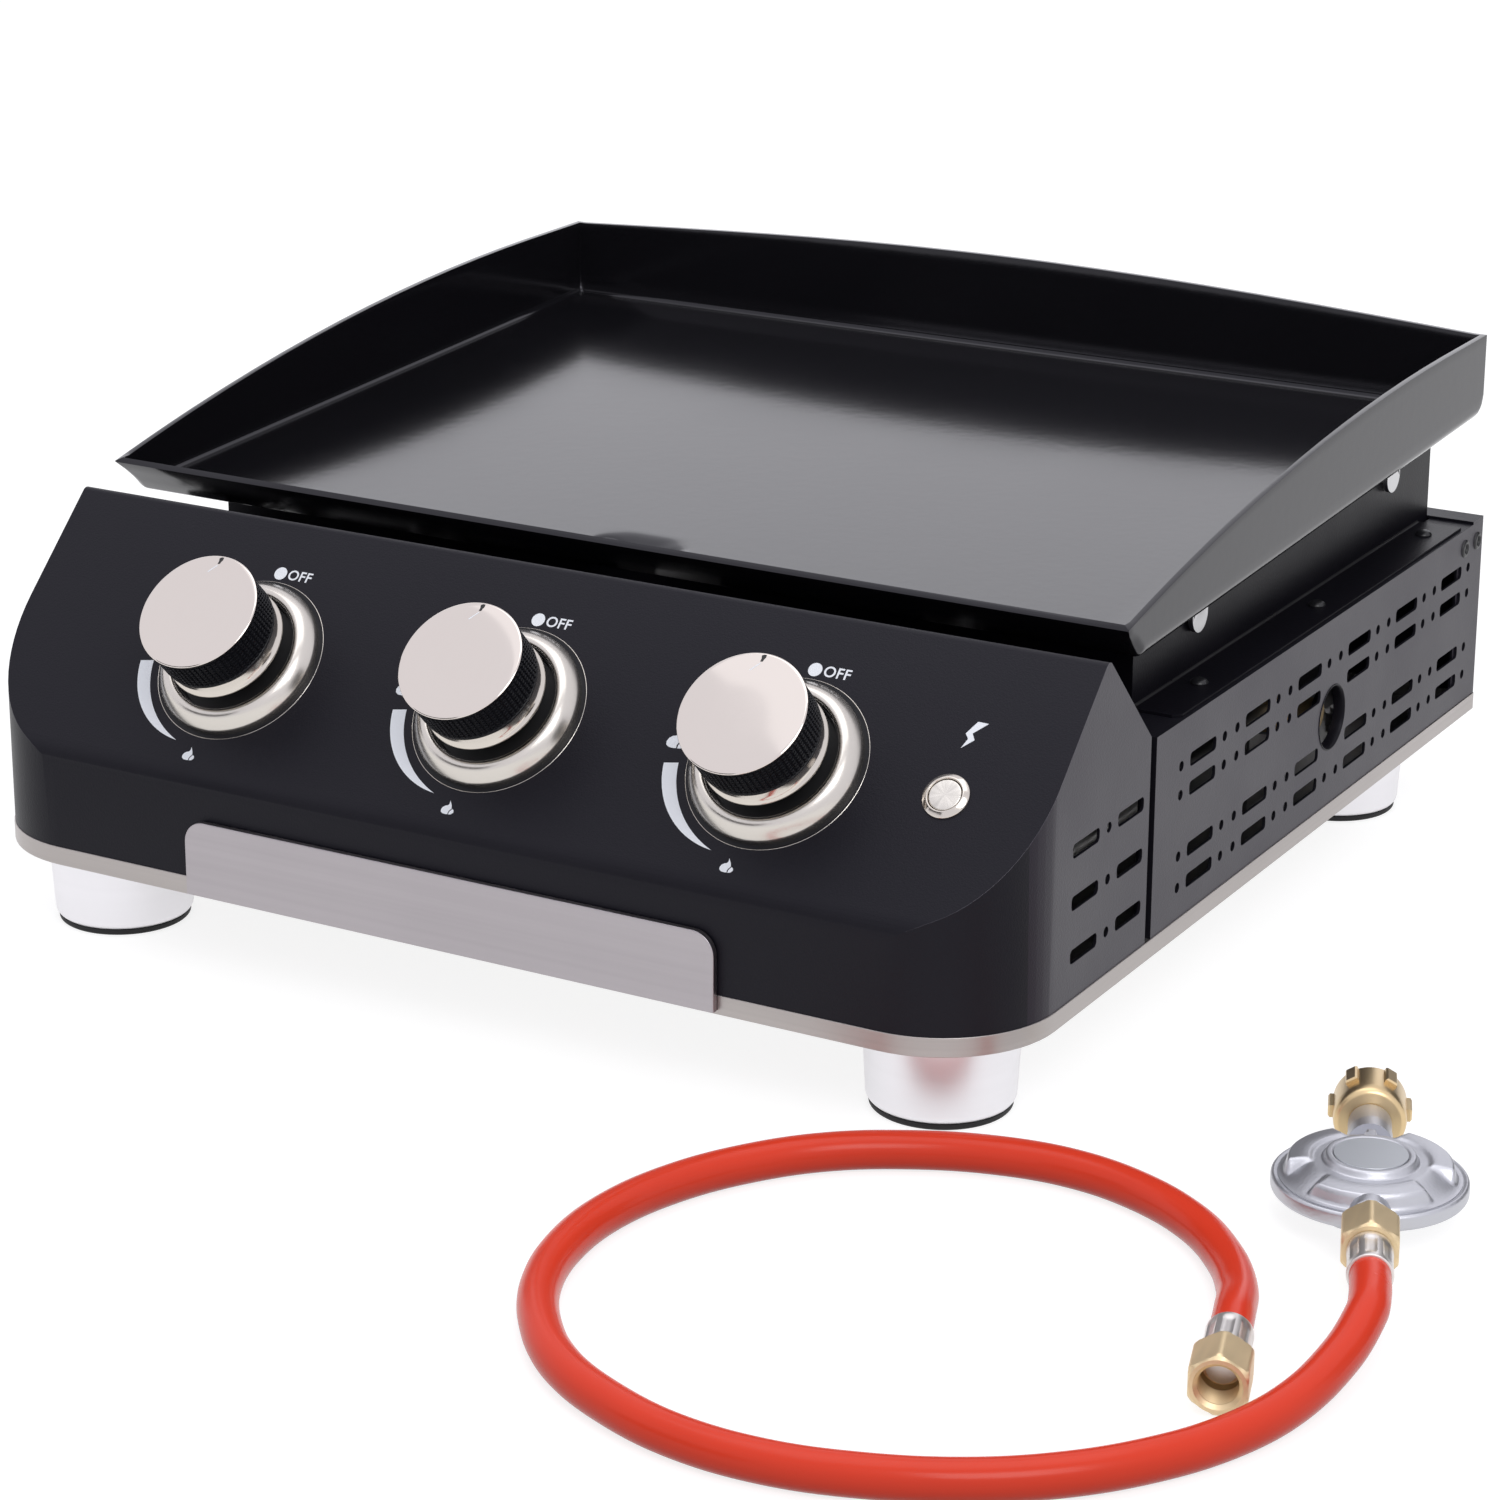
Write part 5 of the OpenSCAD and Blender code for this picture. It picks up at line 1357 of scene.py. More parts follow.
@dataclass
class ControlPanel:
    """The housing, its printed marks, the knobs and the igniter."""

    shop: Workshop
    repeat: Repeater
    ink: float = 0.00005
    dot: float = 0.0028
    dot_at: Pair = (-0.0002, 0.0396)
    word_size: float = 0.0062
    word_at: Pair = (0.0034, 0.0376)
    sweep_span: Pair = (190.8, 253.6)
    # each flame's mark, its place from the knob's middle and its size
    flames: tuple[tuple[Mark, float, float, float], ...] = ((Mark.SMALL_FLAME, -0.0025, -0.0444, 0.0027),
                                                            (Mark.LARGE_FLAME, -0.0426, 0.0002, 0.0038))
    bolt_at: Pair = (0.1900, 0.0790)
    marks: list[tuple[Mark, Mesh]] = field(default_factory=list)

    def build(self) -> None:
        """Builds everything on the sloping panel."""
        # the housing's sides take lit copies of the powder coat (painted sheen), and its rounded crease a glossier copy
        # (painted highlight line)
        self.shop.refine("front_housing", POWDER_BLACK, 0.0005, 3, crease=16.0, flanks=LIT_ROUND_FLANKS, rim=HIGHLIGHT_EDGE_BLACK)
        for side in SIDES:
            Knob(self.shop, self.repeat, side).build()
        self.print_marks()
        self.igniter()

    def spot(self, x: float, up: float) -> Matrix:
        """The frame of a printed mark on the panel."""
        return LAYOUT.on_panel(x, up, 0.00001)

    def print_marks(self) -> None:
        """Prints the dots, the word OFF, the sweeps, the flames and the bolt."""
        circle = [(self.dot * math.cos(a), self.dot * math.sin(a)) for a in (math.tau * k / 40 for k in range(40))]
        for x in SIDES.values():
            up = LAYOUT.knob_up
            self.add(Mark.DOT, circle, self.spot(x + self.dot_at[0], up + self.dot_at[1]))
            self.word("OFF", self.word_size, self.spot(x + self.word_at[0], up + self.word_at[1]))
            self.add(Mark.SWEEP, self.sweep(), self.spot(x, up))
            for mark, dx, dy, size in self.flames:
                for part in self.flame(size):
                    self.add(mark, part, self.spot(x + dx, up + dy))
        self.add(Mark.BOLT, self.bolt(), self.spot(*self.bolt_at))
        joined = self.shop.join("panel_print", [mesh for _, mesh in self.marks])
        log.info("panel print: %s", ", ".join(sorted({mark.value for mark, _ in self.marks})))
        self.shop.piece("panel_print", joined, PRINT_AND_GLINT_WHITE, "base")

    def add(self, mark: Mark, outline: Sequence[Pair], place: Matrix) -> None:
        """Adds a printed shape."""
        self.marks.append((mark, flat_plate(self.shop, mark.value, outline, place, (0.0, self.ink))))

    def word(self, text: str, size: float, place: Matrix) -> None:
        """Adds a printed word in a plain sans letter.

        Args:
            text: the word.
            size: its letters' em size in metres.
            place: the frame of its lower left corner.
        """
        curve = bpy.data.curves.new(text, "FONT")
        curve.body = text
        curve.size = size
        curve.space_character = 1.05
        curve.extrude = self.ink / 2
        curve.offset = 0.00008
        curve.resolution_u = 6
        mesh = self.shop.plain(in_scene("letters", curve), text)
        mesh.transform(place @ Matrix.Translation((0, 0, self.ink / 2)))
        self.marks.append((Mark.WORD, mesh))

    def sweep(self) -> list[Pair]:
        """The tapering arc that shows which way the flame grows smaller.

        Returns:
            Its outline, round the knob's middle.
        """
        start, stop = self.sweep_span
        outer, inner = [], []
        for k in range(25):
            t = k / 24
            a = math.radians(start + (stop - start) * t)
            far, near = 0.0449 - 0.0047 * t**1.8, 0.0390 + 0.0012 * t**3
            outer.append((far * math.cos(a), far * math.sin(a)))
            inner.append((near * math.cos(a), near * math.sin(a)))
        return outer[:-1] + inner[::-1]

    @staticmethod
    def flame(size: float) -> list[list[Pair]]:
        """A small flame: a round body with a leaning tip, and a smaller tongue beside it.

        Args:
            size: half its body's width, in metres.

        Returns:
            The outlines of the body and the tongue.
        """
        body = [(-0.62, -0.53), (-0.08, -0.57), (0.22, -0.52), (0.16, -0.20), (0.28, 0.10), (0.50, 0.42),
                (0.28, 0.92), (-0.20, 1.56), (-0.12, 1.05), (-0.26, 0.80), (-0.62, 0.68), (-0.94, 0.40),
                (-1.06, 0.02), (-0.96, -0.32)]
        tongue = [(0.36, -0.54), (0.74, -0.46), (1.02, -0.14), (0.92, 0.20), (0.66, 0.38), (0.44, 0.06), (0.32, -0.22)]
        return [[(x * size, y * size) for x, y in line] for line in (body, tongue)]

    @staticmethod
    def bolt() -> list[Pair]:
        """A lightning bolt."""
        return [(-0.0001, 0.0056), (0.0042, 0.0055), (-0.0005, 0.0007), (0.0012, -0.0018), (-0.0028, -0.0058),
                (-0.0014, -0.0017), (-0.0031, 0.0002)]

    def igniter(self) -> None:
        """Builds the igniter's ring and button, and dresses what is behind them."""
        place = LAYOUT.on_panel(*LAYOUT.igniter)
        ring = rounded([(0.00635, -0.0198, 0), (0.0080, -0.0198, 0.0002), (0.0080, -0.0012, 0), (0.0080, 0.0, 0),
                        (0.0090, 0.0, 0), (0.0090, 0.0006, 0.0001), (0.0088, 0.0009, 0.0002),
                        (0.0071, 0.0020, 0.0002), (0.0067, 0.0020, 0.0001), (0.00645, 0.0015, 0.0001),
                        (0.00635, 0.0008, 0), (0.00635, -0.0198, 0)], 3)
        self.shop.piece("igniter_rim", self.shop.lathe("rim", ring[:-1], place, 96, sharp=24), SKIRT_CHROME, "base",
                        ["igniter_ring"])
        nut = rounded([(0.00795, -0.0042, 0), (0.0110, -0.0042, 0.0003), (0.0110, -0.0012, 0.0003),
                       (0.00795, -0.0012, 0)], 2)
        self.shop.piece("igniter_nut", self.shop.lathe("nut", nut, place, 48), PLAIN_STEEL, "base")
        top = 0.0017
        button = rounded([(0, top, 0), (0.0030, top, 0), (0.0059, top, 0.0002), (0.0062, top - 0.0003, 0.0001),
                          (0.0062, -0.008, 0), (0, -0.008, 0)], 3)
        # the button's radial tone is a painted sunburst highlight
        self.shop.piece("igniter_cap", self.shop.lathe("cap", button, place, 72), BUTTON_STEEL_PAINTED_SUNBURST, "igniter",
                        ["igniter_button"])
        self.shop.dress(MOULDED_BLACK, "igniter_module")


# ---------------- the body


@dataclass
class Body:
    """The vented panels, firebox, base, feet and their fasteners."""

    shop: Workshop
    repeat: Repeater
    screw_at: float = 0.21805
    screw_rows: tuple[float, ...] = (0.1918, 0.3076, 0.4253)
    shelf: float = 0.1236
    fire_half: float = 0.2085
    fire_span: Pair = (0.1519, 0.4430)
    fold: float = 0.0009
    rivet_rows: tuple[float, ...] = (0.446, 0.4605)
    rivet_up: float = 0.1139
    rivet_out: float = 0.2296
    port: Point = (0.069386, 0.080, 0.01375)
    foot_x: float = 0.1865
    foot_rows: tuple[float, ...] = (0.0442, 0.416)

    def build(self) -> None:
        """Builds and dresses the body."""
        # the panels' side-facing faces take the lit copy of the powder coat: painted sheen
        for node in ("side_panel_left", "side_panel_right", "back_panel"):
            self.shop.refine(node, POWDER_BLACK, 0.0003, flanks=LIT_FLANKS)
        self.shop.refine("firebox", FIREBOX_BLACK, 0.0004)
        self.folds()
        self.shop.refine("trim_band", TRIM_STEEL, 0.0003, 3)
        self.shop.dress(PLAIN_STEEL, "base_pan", "foot_bolts", "drip_guard")
        self.screws()
        self.rivets()
        self.port_rim()
        self.feet()

    def folds(self) -> None:
        """The hollow of the bend between the firebox's side walls and its flanges, in a lighter, glossier copy of the
        firebox paint: a painted highlight line.
        """
        r, into = self.fold, 0.0002
        arc = [(r - r * math.sin(a), r - r * math.cos(a)) for a in (math.pi / 2 * k / 8 for k in range(9))]
        outline = [(-into, -into), (r, -into)] + arc + [(-into, r)]
        front, back = (LAYOUT.behind(y) for y in self.fire_span)
        for side, turn, y in (("left", math.pi, front), ("right", 0.0, back)):
            place = (Matrix.Translation((math.cos(turn) * self.fire_half, y, self.shelf))
                     @ Matrix.Rotation(turn, 4, "Z") @ Matrix.Rotation(math.pi / 2, 4, "X"))
            mesh = flat_plate(self.shop, "fold", outline, place, (0.0, back - front))
            self.shop.piece("firebox_fold_" + side, mesh, FOLD_HIGHLIGHT_BLACK, "base")

    def scatter(self, name: str, part: Mesh, finish: Finish, places: Sequence[tuple[Point, Point]],
                *stands_for: str) -> None:
        """Sets one part at several places of the base, as one piece.

        Args:
            name: the piece's name.
            part: the part's mesh.
            finish: its finish.
            places: the position and the Euler turn of each.
            stands_for: the solids that they replace.
        """
        self.shop.piece(name, self.repeat.spots(name, part, finish, places), finish, "base", stands_for)

    def screws(self) -> None:
        """Cross-head screws along the firebox's flange."""
        head = [(0.0, 0.0022, 0), (0.0016, 0.0021, 0), (0.0029, 0.0015, 0.0006), (0.0036, 0.0006, 0.0004),
                (0.0036, 0.0, 0.0002), (0.0020, 0.0, 0), (0.0020, -0.0070, 0), (0, -0.0070, 0)]
        screw = self.shop.lathe("screw", rounded(head, 3), steps=32)
        places = [((s * self.screw_at, LAYOUT.behind(y), self.shelf), (0.0, 0.0, 0.3 * i))
                  for i, (s, y) in enumerate((s, y) for s in (-1, 1) for y in self.screw_rows)]
        self.scatter("flange_screws", screw, FASTENER_BLACK, places, "firebox_screws")
        # a flat dark cross paints the shade of each screw's cross recess
        self.scatter("screw_recesses", self.recess_shade_cross(), SHADE_AND_REFLECTION_BLACK, places)

    def recess_shade_cross(self) -> Mesh:
        """The dark cross on a screw's head: painted shade of its cross recess, which isn't cut.

        Returns:
            Its mesh, in the screw's frame.
        """
        a, b = 0.0017, 0.00042
        line = [(a, -b), (a, b), (b, b), (b, a), (-b, a), (-b, b), (-a, b), (-a, -b), (-b, -b), (-b, -a), (b, -a),
                (b, -b)]
        return flat_plate(self.shop, "cross", line, None, (0.00182, 0.00212))

    def rivets(self) -> None:
        """Blind rivets at the rear of the side panels."""
        dome = rounded([(0.0011, -0.0030, 0), (0.0016, -0.0030, 0), (0.0018, 0.0, 0), (0.0039, 0.0, 0),
                        (0.0038, 0.0005, 0.0003), (0.0031, 0.0009, 0.0003), (0.0024, 0.0009, 0.0002),
                        (0.0020, 0.0003, 0.0002), (0.0018, -0.0002, 0)], 3)
        rivet = self.shop.lathe("rivet", dome, steps=32)
        core = rounded([(0, 0.0002, 0), (0.0019, 0.0001, 0.0002), (0.0019, -0.0001, 0), (0.00108, -0.0004, 0),
                        (0.00108, -0.0028, 0), (0, -0.0028, 0)], 2)
        stem = self.shop.lathe("stem", core, steps=24)
        places = [((s * self.rivet_out, LAYOUT.behind(y), self.rivet_up), (0.0, s * math.pi / 2, 0.0))
                  for s in (-1, 1) for y in self.rivet_rows]
        self.scatter("rivet_heads", rivet, FASTENER_BLACK, places, "panel_rivets")
        # the stems, deep in the rivets' holes, are flat black darker than the heads: painted shade
        self.scatter("rivet_stems", stem, SHADE_AND_REFLECTION_BLACK, places)

    def port_rim(self) -> None:
        """The rolled edge of the round port in the right panel."""
        r = self.port[2]
        rolled = rounded([(r - 0.00125, -0.0045, 0), (r - 0.0005, -0.0045, 0), (r - 0.00003, -0.0008, 0.0003),
                          (r - 0.00003, 0.0003, 0.0003), (r - 0.00065, 0.0003, 0.0004),
                          (r - 0.00125, -0.0010, 0.0004)], 3)
        place = Matrix.Translation((self.rivet_out, *self.port[:2])) @ Matrix.Rotation(math.pi / 2, 4, "Y")
        self.shop.piece("port_rim", self.shop.lathe("rim", rolled, place, 96), FIREBOX_BLACK, "base")

    def feet(self) -> None:
        """Bright cups with rubber pads."""
        cup = rounded([(0.00305, 0.0055, 0), (0.0056, 0.0055, 0), (0.0056, 0.0025, 0), (0.0262, 0.0025, 0.0006),
                       (0.0277, 0.0042, 0.0016), (0.0293, 0.0335, 0.002), (0.0295, 0.0352, 0.0004),
                       (0.0292, 0.0355, 0.0002), (0.0276, 0.0355, 0.0001), (0.0274, 0.034, 0),
                       (0.0256, 0.008, 0), (0.00305, 0.008, 0)], 4)
        pad = rounded([(0, 0.0, 0), (0.0257, 0.0, 0.0005), (0.0265, 0.0007, 0.0005), (0.0266, 0.0025, 0.0001),
                       (0, 0.0025, 0)], 3)
        places = [((s * self.foot_x, LAYOUT.behind(y), 0.0), (0.0, 0.0, 0.0)) for s in (-1, 1) for y in self.foot_rows]
        self.scatter("foot_metal", self.shop.lathe("cup", cup), FOOT_METAL, places, "foot_cups")
        self.scatter("foot_rubber", self.shop.lathe("pad", pad, steps=72), FOOT_RUBBER, places, "foot_pads")


@dataclass
class GasTrain:
    """Burners, taps, pipes and ignition, seen through the vents and with the plate off."""

    shop: Workshop
    repeat: Repeater
    inlet_from: float = 0.2126
    port: Pair = (0.3007, 0.080)

    def build(self) -> None:
        """Dresses the gas line and cuts the inlet's thread."""
        self.shop.dress(PLAIN_STEEL, "burner_left", "burner_middle", "burner_right", "manifold", "inlet_pipe",
                        "inlet_bracket", "valve_stem_left", "valve_stem_middle", "valve_stem_right")
        self.shop.dress(BRASS, "valve_left", "valve_middle", "valve_right", "gas_inlet", "stem_collar_left",
                        "stem_collar_middle", "stem_collar_right")
        self.shop.dress(CERAMIC, "electrodes")
        self.shop.dress(LEAD_SKIN, "ignition_leads")
        place = towards((self.inlet_from, LAYOUT.behind(self.port[0]), self.port[1]), (1, 0, 0))
        ridge = thread_ridge(self.shop, radius=0.00656, depth=0.0003, width=0.0011)
        mesh = self.repeat.rings("inlet_thread", ridge, BRASS, place @ Matrix.Translation((0, 0, 0.001)),
                                 radius=0.0, around=1, rows=7, rise=0.00134)
        self.shop.piece("inlet_thread", mesh, BRASS, "base")


def thread_ridge(shop: Workshop, radius: float, depth: float, width: float) -> Mesh:
    """One ridge of a thread: a ring with a triangular section.

    Args:
        shop: the workshop.
        radius: the thread's outer radius.
        depth: how far it stands out.
        width: its width at the foot.

    Returns:
        The mesh, round the local Z axis.
    """
    line = [(radius - depth, 0.0), (radius, width * 0.4), (radius, width * 0.6), (radius - depth, width),
            (radius - depth - 0.0002, width / 2)]
    return shop.lathe("ridge", line, steps=48)


@dataclass
class GreaseTray:
    """The slide-out tray with its brushed front plate."""

    shop: Workshop

    def build(self) -> None:
        """Dresses the tray, its front and its runners."""
        self.shop.refine("tray_front", PLATE_STEEL, 0.0003, 3)
        self.shop.refine("drip_tray", PLAIN_STEEL, 0.0002)
        self.shop.dress(PLAIN_STEEL, "tray_runners")


# ---------------- the hose set


@dataclass
class HoseSet:
    """The loose hose with its ferrules, nuts, regulator and bottle connection."""

    shop: Workshop
    repeat: Repeater
    at: Pair = (250.0, -116.0)
    turn: float = math.radians(30)
    hose: float = 7.0
    length: float = 0.793
    ferrule: float = 17.5
    nut: float = 19.0
    disc: float = 33.7
    route: tuple[Point, ...] = (
        (107, -34, 11), (110, -20, 11), (113.5, 2, 8.5), (112.5, 28, 7), (105, 54, 7),
        (89, 79, 7), (67, 98, 7), (40, 109, 7), (11, 113, 7), (-18, 111, 7), (-46, 101, 7),
        (-71, 85, 7), (-92, 63, 7), (-106, 37, 7), (-113, 8, 7), (-112, -21, 7), (-104, -49, 7),
        (-88, -74, 7), (-67, -95, 7), (-41, -110, 7), (-13, -118, 7), (17, -121, 7), (46, -118, 7),
        (74, -109, 7), (100, -94, 7), (122, -74, 8), (140, -49, 11), (151, -27, 14.5),
        (154, -15, 15), (156, -1, 15))

    def place(self, point: Sequence[float]) -> Vector:
        """Carries a point of the set's own frame to the row's.

        Args:
            point: the point, in millimetres.

        Returns:
            The point in the row's frame, in metres.
        """
        c, s = math.cos(self.turn), math.sin(self.turn)
        x, y, z = point
        return Vector((self.at[0] + x * c - y * s, LAYOUT.front / MM + self.at[1] + x * s + y * c, z)) * MM

    def build(self) -> None:
        line = [self.place(p) for p in self.route]
        free = towards(line[0], line[0] - line[1])
        tied = towards(line[-1], line[-1] - line[-2])
        with_it = [self.ferrules(free, tied)]
        with_it += self.nuts(free, tied)
        with_it += self.regulator(tied)
        hose = self.tube(line)
        log.info("hose: %.3f m along its line", self.length)

    def tube(self, line: Sequence[Vector]) -> Object:
        """The hose itself, as one open spline with a round section.

        Args:
            line: the points of its centreline.

        Returns:
            The hose.
        """
        curve = bpy.data.curves.new("hose_tube", "CURVE")
        curve.dimensions = "3D"
        curve.resolution_u = 10
        curve.bevel_depth = self.hose * MM - 0.00005
        curve.bevel_resolution = 10
        curve.use_fill_caps = True
        spline = curve.splines.new("BEZIER")
        spline.bezier_points.add(len(line) - 1)
        reach = 0.36
        for k, (knot, p) in enumerate(zip(spline.bezier_points, line)):
            before, after = line[max(k - 1, 0)], line[min(k + 1, len(line) - 1)]
            along = (after - before).normalized()
            knot.co = p
            knot.handle_left_type = knot.handle_right_type = "FREE"
            knot.handle_left = p - along * (p - before).length * reach
            knot.handle_right = p + along * (after - p).length * reach
        hose = in_scene("hose_tube", curve)
        curve.materials.append(self.shop.paints.paint(HOSE_SKIN))
        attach(hose, "hose_set")
        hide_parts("hose")
        return hose

    def ferrules(self, free: Matrix, tied: Matrix) -> Object:
        """The two crimped ferrules with their tails.

        Args:
            free: the frame of the hose's free end.
            tied: the frame of its other end.

        Returns:
            Both, as one piece.
        """
        long, sleeve, tail = self.ferrule * MM, 0.0078, 0.0070
        flats, press = 8, 0.00062
        outline = [(0, -0.0001, 0), (0.00705, -0.0001, 0), (sleeve, 0.0, 0.0003)]
        outline += [(sleeve, long * k / 16, 0) for k in range(1, 16)]
        outline += [(sleeve, long, 0.0006), (0.0050, long, 0), (0.0050, long + tail, 0), (0, long + tail, 0)]
        profile = rounded(outline, 3)

        def crimp(a: float, r: float, z: float) -> float:
            """Presses eight long flats into the sleeve.

            Args:
                a: the angle of a corner.
                r: its radius.
                z: its height.

            Returns:
                The pressed radius.
            """
            if r < sleeve - 0.0001:
                return r
            across = abs((a / (math.tau / flats) + 0.5) % 1 - 0.5) * 2
            dent = max(0.0, 1 - (across / 0.62) ** 4)
            ends = min(smooth_step(0.0022, 0.0038, z), smooth_step(long - 0.0026, long - 0.0042, z))
            return r - press * dent * ends

        joined = self.shop.join("ferrule_sleeves", [self.shop.lathe("ferrule", profile, place, 96, radius=crimp)
                                                    for place in (free, tied)], sharp=32)
        return self.shop.piece("ferrule_sleeves", joined, FERRULE_STEEL, "hose_set", ["hose_ferrules"])

    def hex_nut(self, name: str, place: Matrix) -> Mesh:
        """A hexagon nut with chamfered ends, a threaded socket and a rear wall.

        Args:
            name: the mesh's name.
            place: its frame, with Z towards the socket's mouth.

        Returns:
            The mesh.
        """
        across, long = 0.0095, self.nut * MM
        corner = across / math.cos(math.pi / 6)
        outer = [(corner, long * k / 20) for k in range(21)]
        bore = [(0.0079, long), (0.0066, long - 0.0013)]
        pitch = 0.0013
        for k in range(8):
            z = long - 0.0016 - k * pitch
            bore += [(0.0066, z), (0.0071, z - pitch * 0.5)]
        bore += [(0.0066, 0.0042), (0.00505, 0.0040), (0.00505, 0.0)]
        profile = outer + bore

        def shape(a: float, r: float, z: float) -> float:
            """Flats outside, with a cone turned on each end; round inside.

            Args:
                a: the angle of a corner.
                r: its radius.
                z: its height.

            Returns:
                The shaped radius.
            """
            if r < corner - 1e-6:
                return r
            turn = (a % (math.pi / 3)) - math.pi / 6
            flat = across / math.cos(turn)
            cone = 0.00925 + min(z, long - z) * 1.05
            return min(flat, cone, corner - 0.00025)

        return self.shop.lathe(name, profile, place, 120, sharp=24, radius=shape)

    def nuts(self, free: Matrix, tied: Matrix) -> list[Object]:
        """The two hexagon nuts of the hose, each on its own body.

        Args:
            free: the frame of the hose's free end.
            tied: the frame of its other end.

        Returns:
            The nuts.
        """
        gap = Matrix.Translation((0, 0, (self.ferrule + 0.2) * MM)) @ Matrix.Rotation(math.pi / 6, 4, "Z")
        return [self.shop.piece(name + "_hexagon", self.hex_nut(name, place @ gap), NUT_BRASS, name, [name])
                for name, place in (("inlet_nut", free), ("regulator_nut", tied))]

    def regulator(self, tied: Matrix) -> list[Object]:
        """The regulator's body, its embossed cover and the bottle connection.

        Args:
            tied: the frame of the hose's end at the regulator.

        Returns:
            The pieces.
        """
        start = (self.ferrule + 7.2) * MM
        centre = (self.ferrule + self.nut + 5 + self.disc) * MM
        r = self.disc * MM
        along = tied @ Matrix.Translation((0, 0, centre))
        up = along @ Matrix.Rotation(-math.pi / 2, 4, "X")
        inlet = rounded([(0, start, 0), (0.00655, start, 0.0003), (0.00655, centre - r + 0.0005, 0),
                         (0.0072, centre - r + 0.0008, 0.0003), (0.0072, centre - r + 0.006, 0),
                         (0, centre - r + 0.006, 0)], 2)
        neck = rounded([(0, r - 0.006, 0), (0.0079, r - 0.006, 0), (0.0079, r + 0.0008, 0.0005),
                        (0.0077, r + 0.0016, 0), (0.0077, r + 0.0112, 0.0005), (0.0070, r + 0.012, 0.0003),
                        (0, r + 0.012, 0)], 3)
        rim = rounded([(0, -0.015, 0), (0.0125, -0.015, 0.0008), (0.0145, -0.0135, 0.0008), (0.0185, -0.0125, 0.002),
                       (0.0215, -0.0065, 0.002), (0.0295, -0.0048, 0.001), (0.0328, -0.0044, 0.0006),
                       (r, -0.0034, 0.0007), (r, 0.0006, 0.0007), (0.0328, 0.0014, 0.0004), (0.0316, 0.0010, 0.0003),
                       (0, 0.0010, 0)], 4)
        body = self.shop.join("regulator_housing", [
            self.shop.lathe("inlet", inlet, tied, 64), self.shop.lathe("neck", neck, along, 64),
            self.shop.lathe("rim", rim, up, 144)], sharp=34)
        pieces = [self.shop.piece("regulator_housing", body, CAST_ZINC, "hose_set", ["regulator_body"])]
        ridge = thread_ridge(self.shop, radius=0.00657, depth=0.0004, width=0.0010)
        behind_nut = tied @ Matrix.Translation((0, 0, (self.ferrule + self.nut + 0.4) * MM))
        thread = self.repeat.rings("regulator_thread", ridge, CAST_ZINC, behind_nut,
                                   radius=0.0, around=1, rows=4, rise=0.00115)
        pieces.append(self.shop.piece("regulator_thread", thread, CAST_ZINC, "hose_set"))
        pieces.append(self.cover(up))
        label = rounded([(0, 0.00935, 0), (0.0126, 0.00935, 0), (0.0127, 0.0092, 0), (0.0127, 0.0089, 0),
                         (0, 0.0089, 0)], 1)
        pieces.append(self.shop.piece("regulator_label", self.shop.lathe("label", label, up, 96), LABEL_BLANK,
                                      "hose_set"))
        pieces += self.bottle(along @ Matrix.Translation((0, 0, r + 0.012)))
        return pieces

    def cover(self, up: Matrix) -> Object:
        """The domed cover with three raised pads, a rib and a ring round the label.

        Args:
            up: the disc's frame, with Z upwards and Y back along the pipe.

        Returns:
            The cover.
        """
        edge, inner, flat = 0.0313, 0.0150, 0.0124
        rings, steps = 44, 192
        step = smooth_step

        def height(r: float, a: float) -> float:
            """The cover's height.

            Args:
                r: a distance from the middle.
                a: an angle from the bottle's side.

            Returns:
                The height there.
            """
            base = 0.0013 + 0.0056 * step(edge, 0.0195, r)
            base += 0.0024 * step(0.0166, 0.0150, r)
            base -= 0.0006 * step(0.0133, 0.0127, r)
            for middle, spread in ((62.0, 34.0), (180.0, 40.0), (298.0, 34.0)):
                d = abs((math.degrees(a) - middle + 180) % 360 - 180)
                ends = step(spread + 7.0, spread, d)
                band = step(0.0192, 0.0212, r) * step(0.0295, 0.0278, r)
                pad = ends * band
                base = base * (1 - pad) + (0.0067 + 0.0009 * step(0.0295, 0.022, r)) * pad
            d = abs((math.degrees(a) + 180) % 360 - 180)
            rib = step(0.0026, 0.0018, r * math.sin(math.radians(min(d, 90)))) * (d < 60)
            rib *= step(0.0222, 0.0210, r) * step(0.0148, 0.0152, r)
            return max(base, 0.0088 * rib)

        points: list[Point] = [(0.0, 0.0, height(0.0, 0.0))]
        radii = [inner * 0.4, inner * 0.8] + [flat + (edge - flat) * k / (rings - 3) for k in range(rings - 2)]
        for r in radii:
            for i in range(steps):
                a = math.tau * i / steps
                points.append((r * math.sin(a), -r * math.cos(a), height(r, a)))
        faces: list[Face] = [(0, 1 + i, 1 + (i + 1) % steps) for i in range(steps)]
        for j in range(rings - 1):
            for i in range(steps):
                n = (i + 1) % steps
                a, b = 1 + j * steps, 1 + (j + 1) * steps
                faces.append((a + i, b + i, b + n, a + n))
        foot = len(points)
        last = 1 + (rings - 1) * steps
        points += [(x, y, 0.0009) for x, y, _ in points[last:last + steps]]
        faces += [(last + i, foot + i, foot + (i + 1) % steps, last + (i + 1) % steps) for i in range(steps)]
        faces.append(tuple(foot + i for i in range(steps))[::-1])
        mesh = self.shop.mesh("cover", points, faces, up, sharp=60)
        return self.shop.piece("regulator_dome", mesh, CAST_ZINC, "hose_set", ["regulator_cover"])

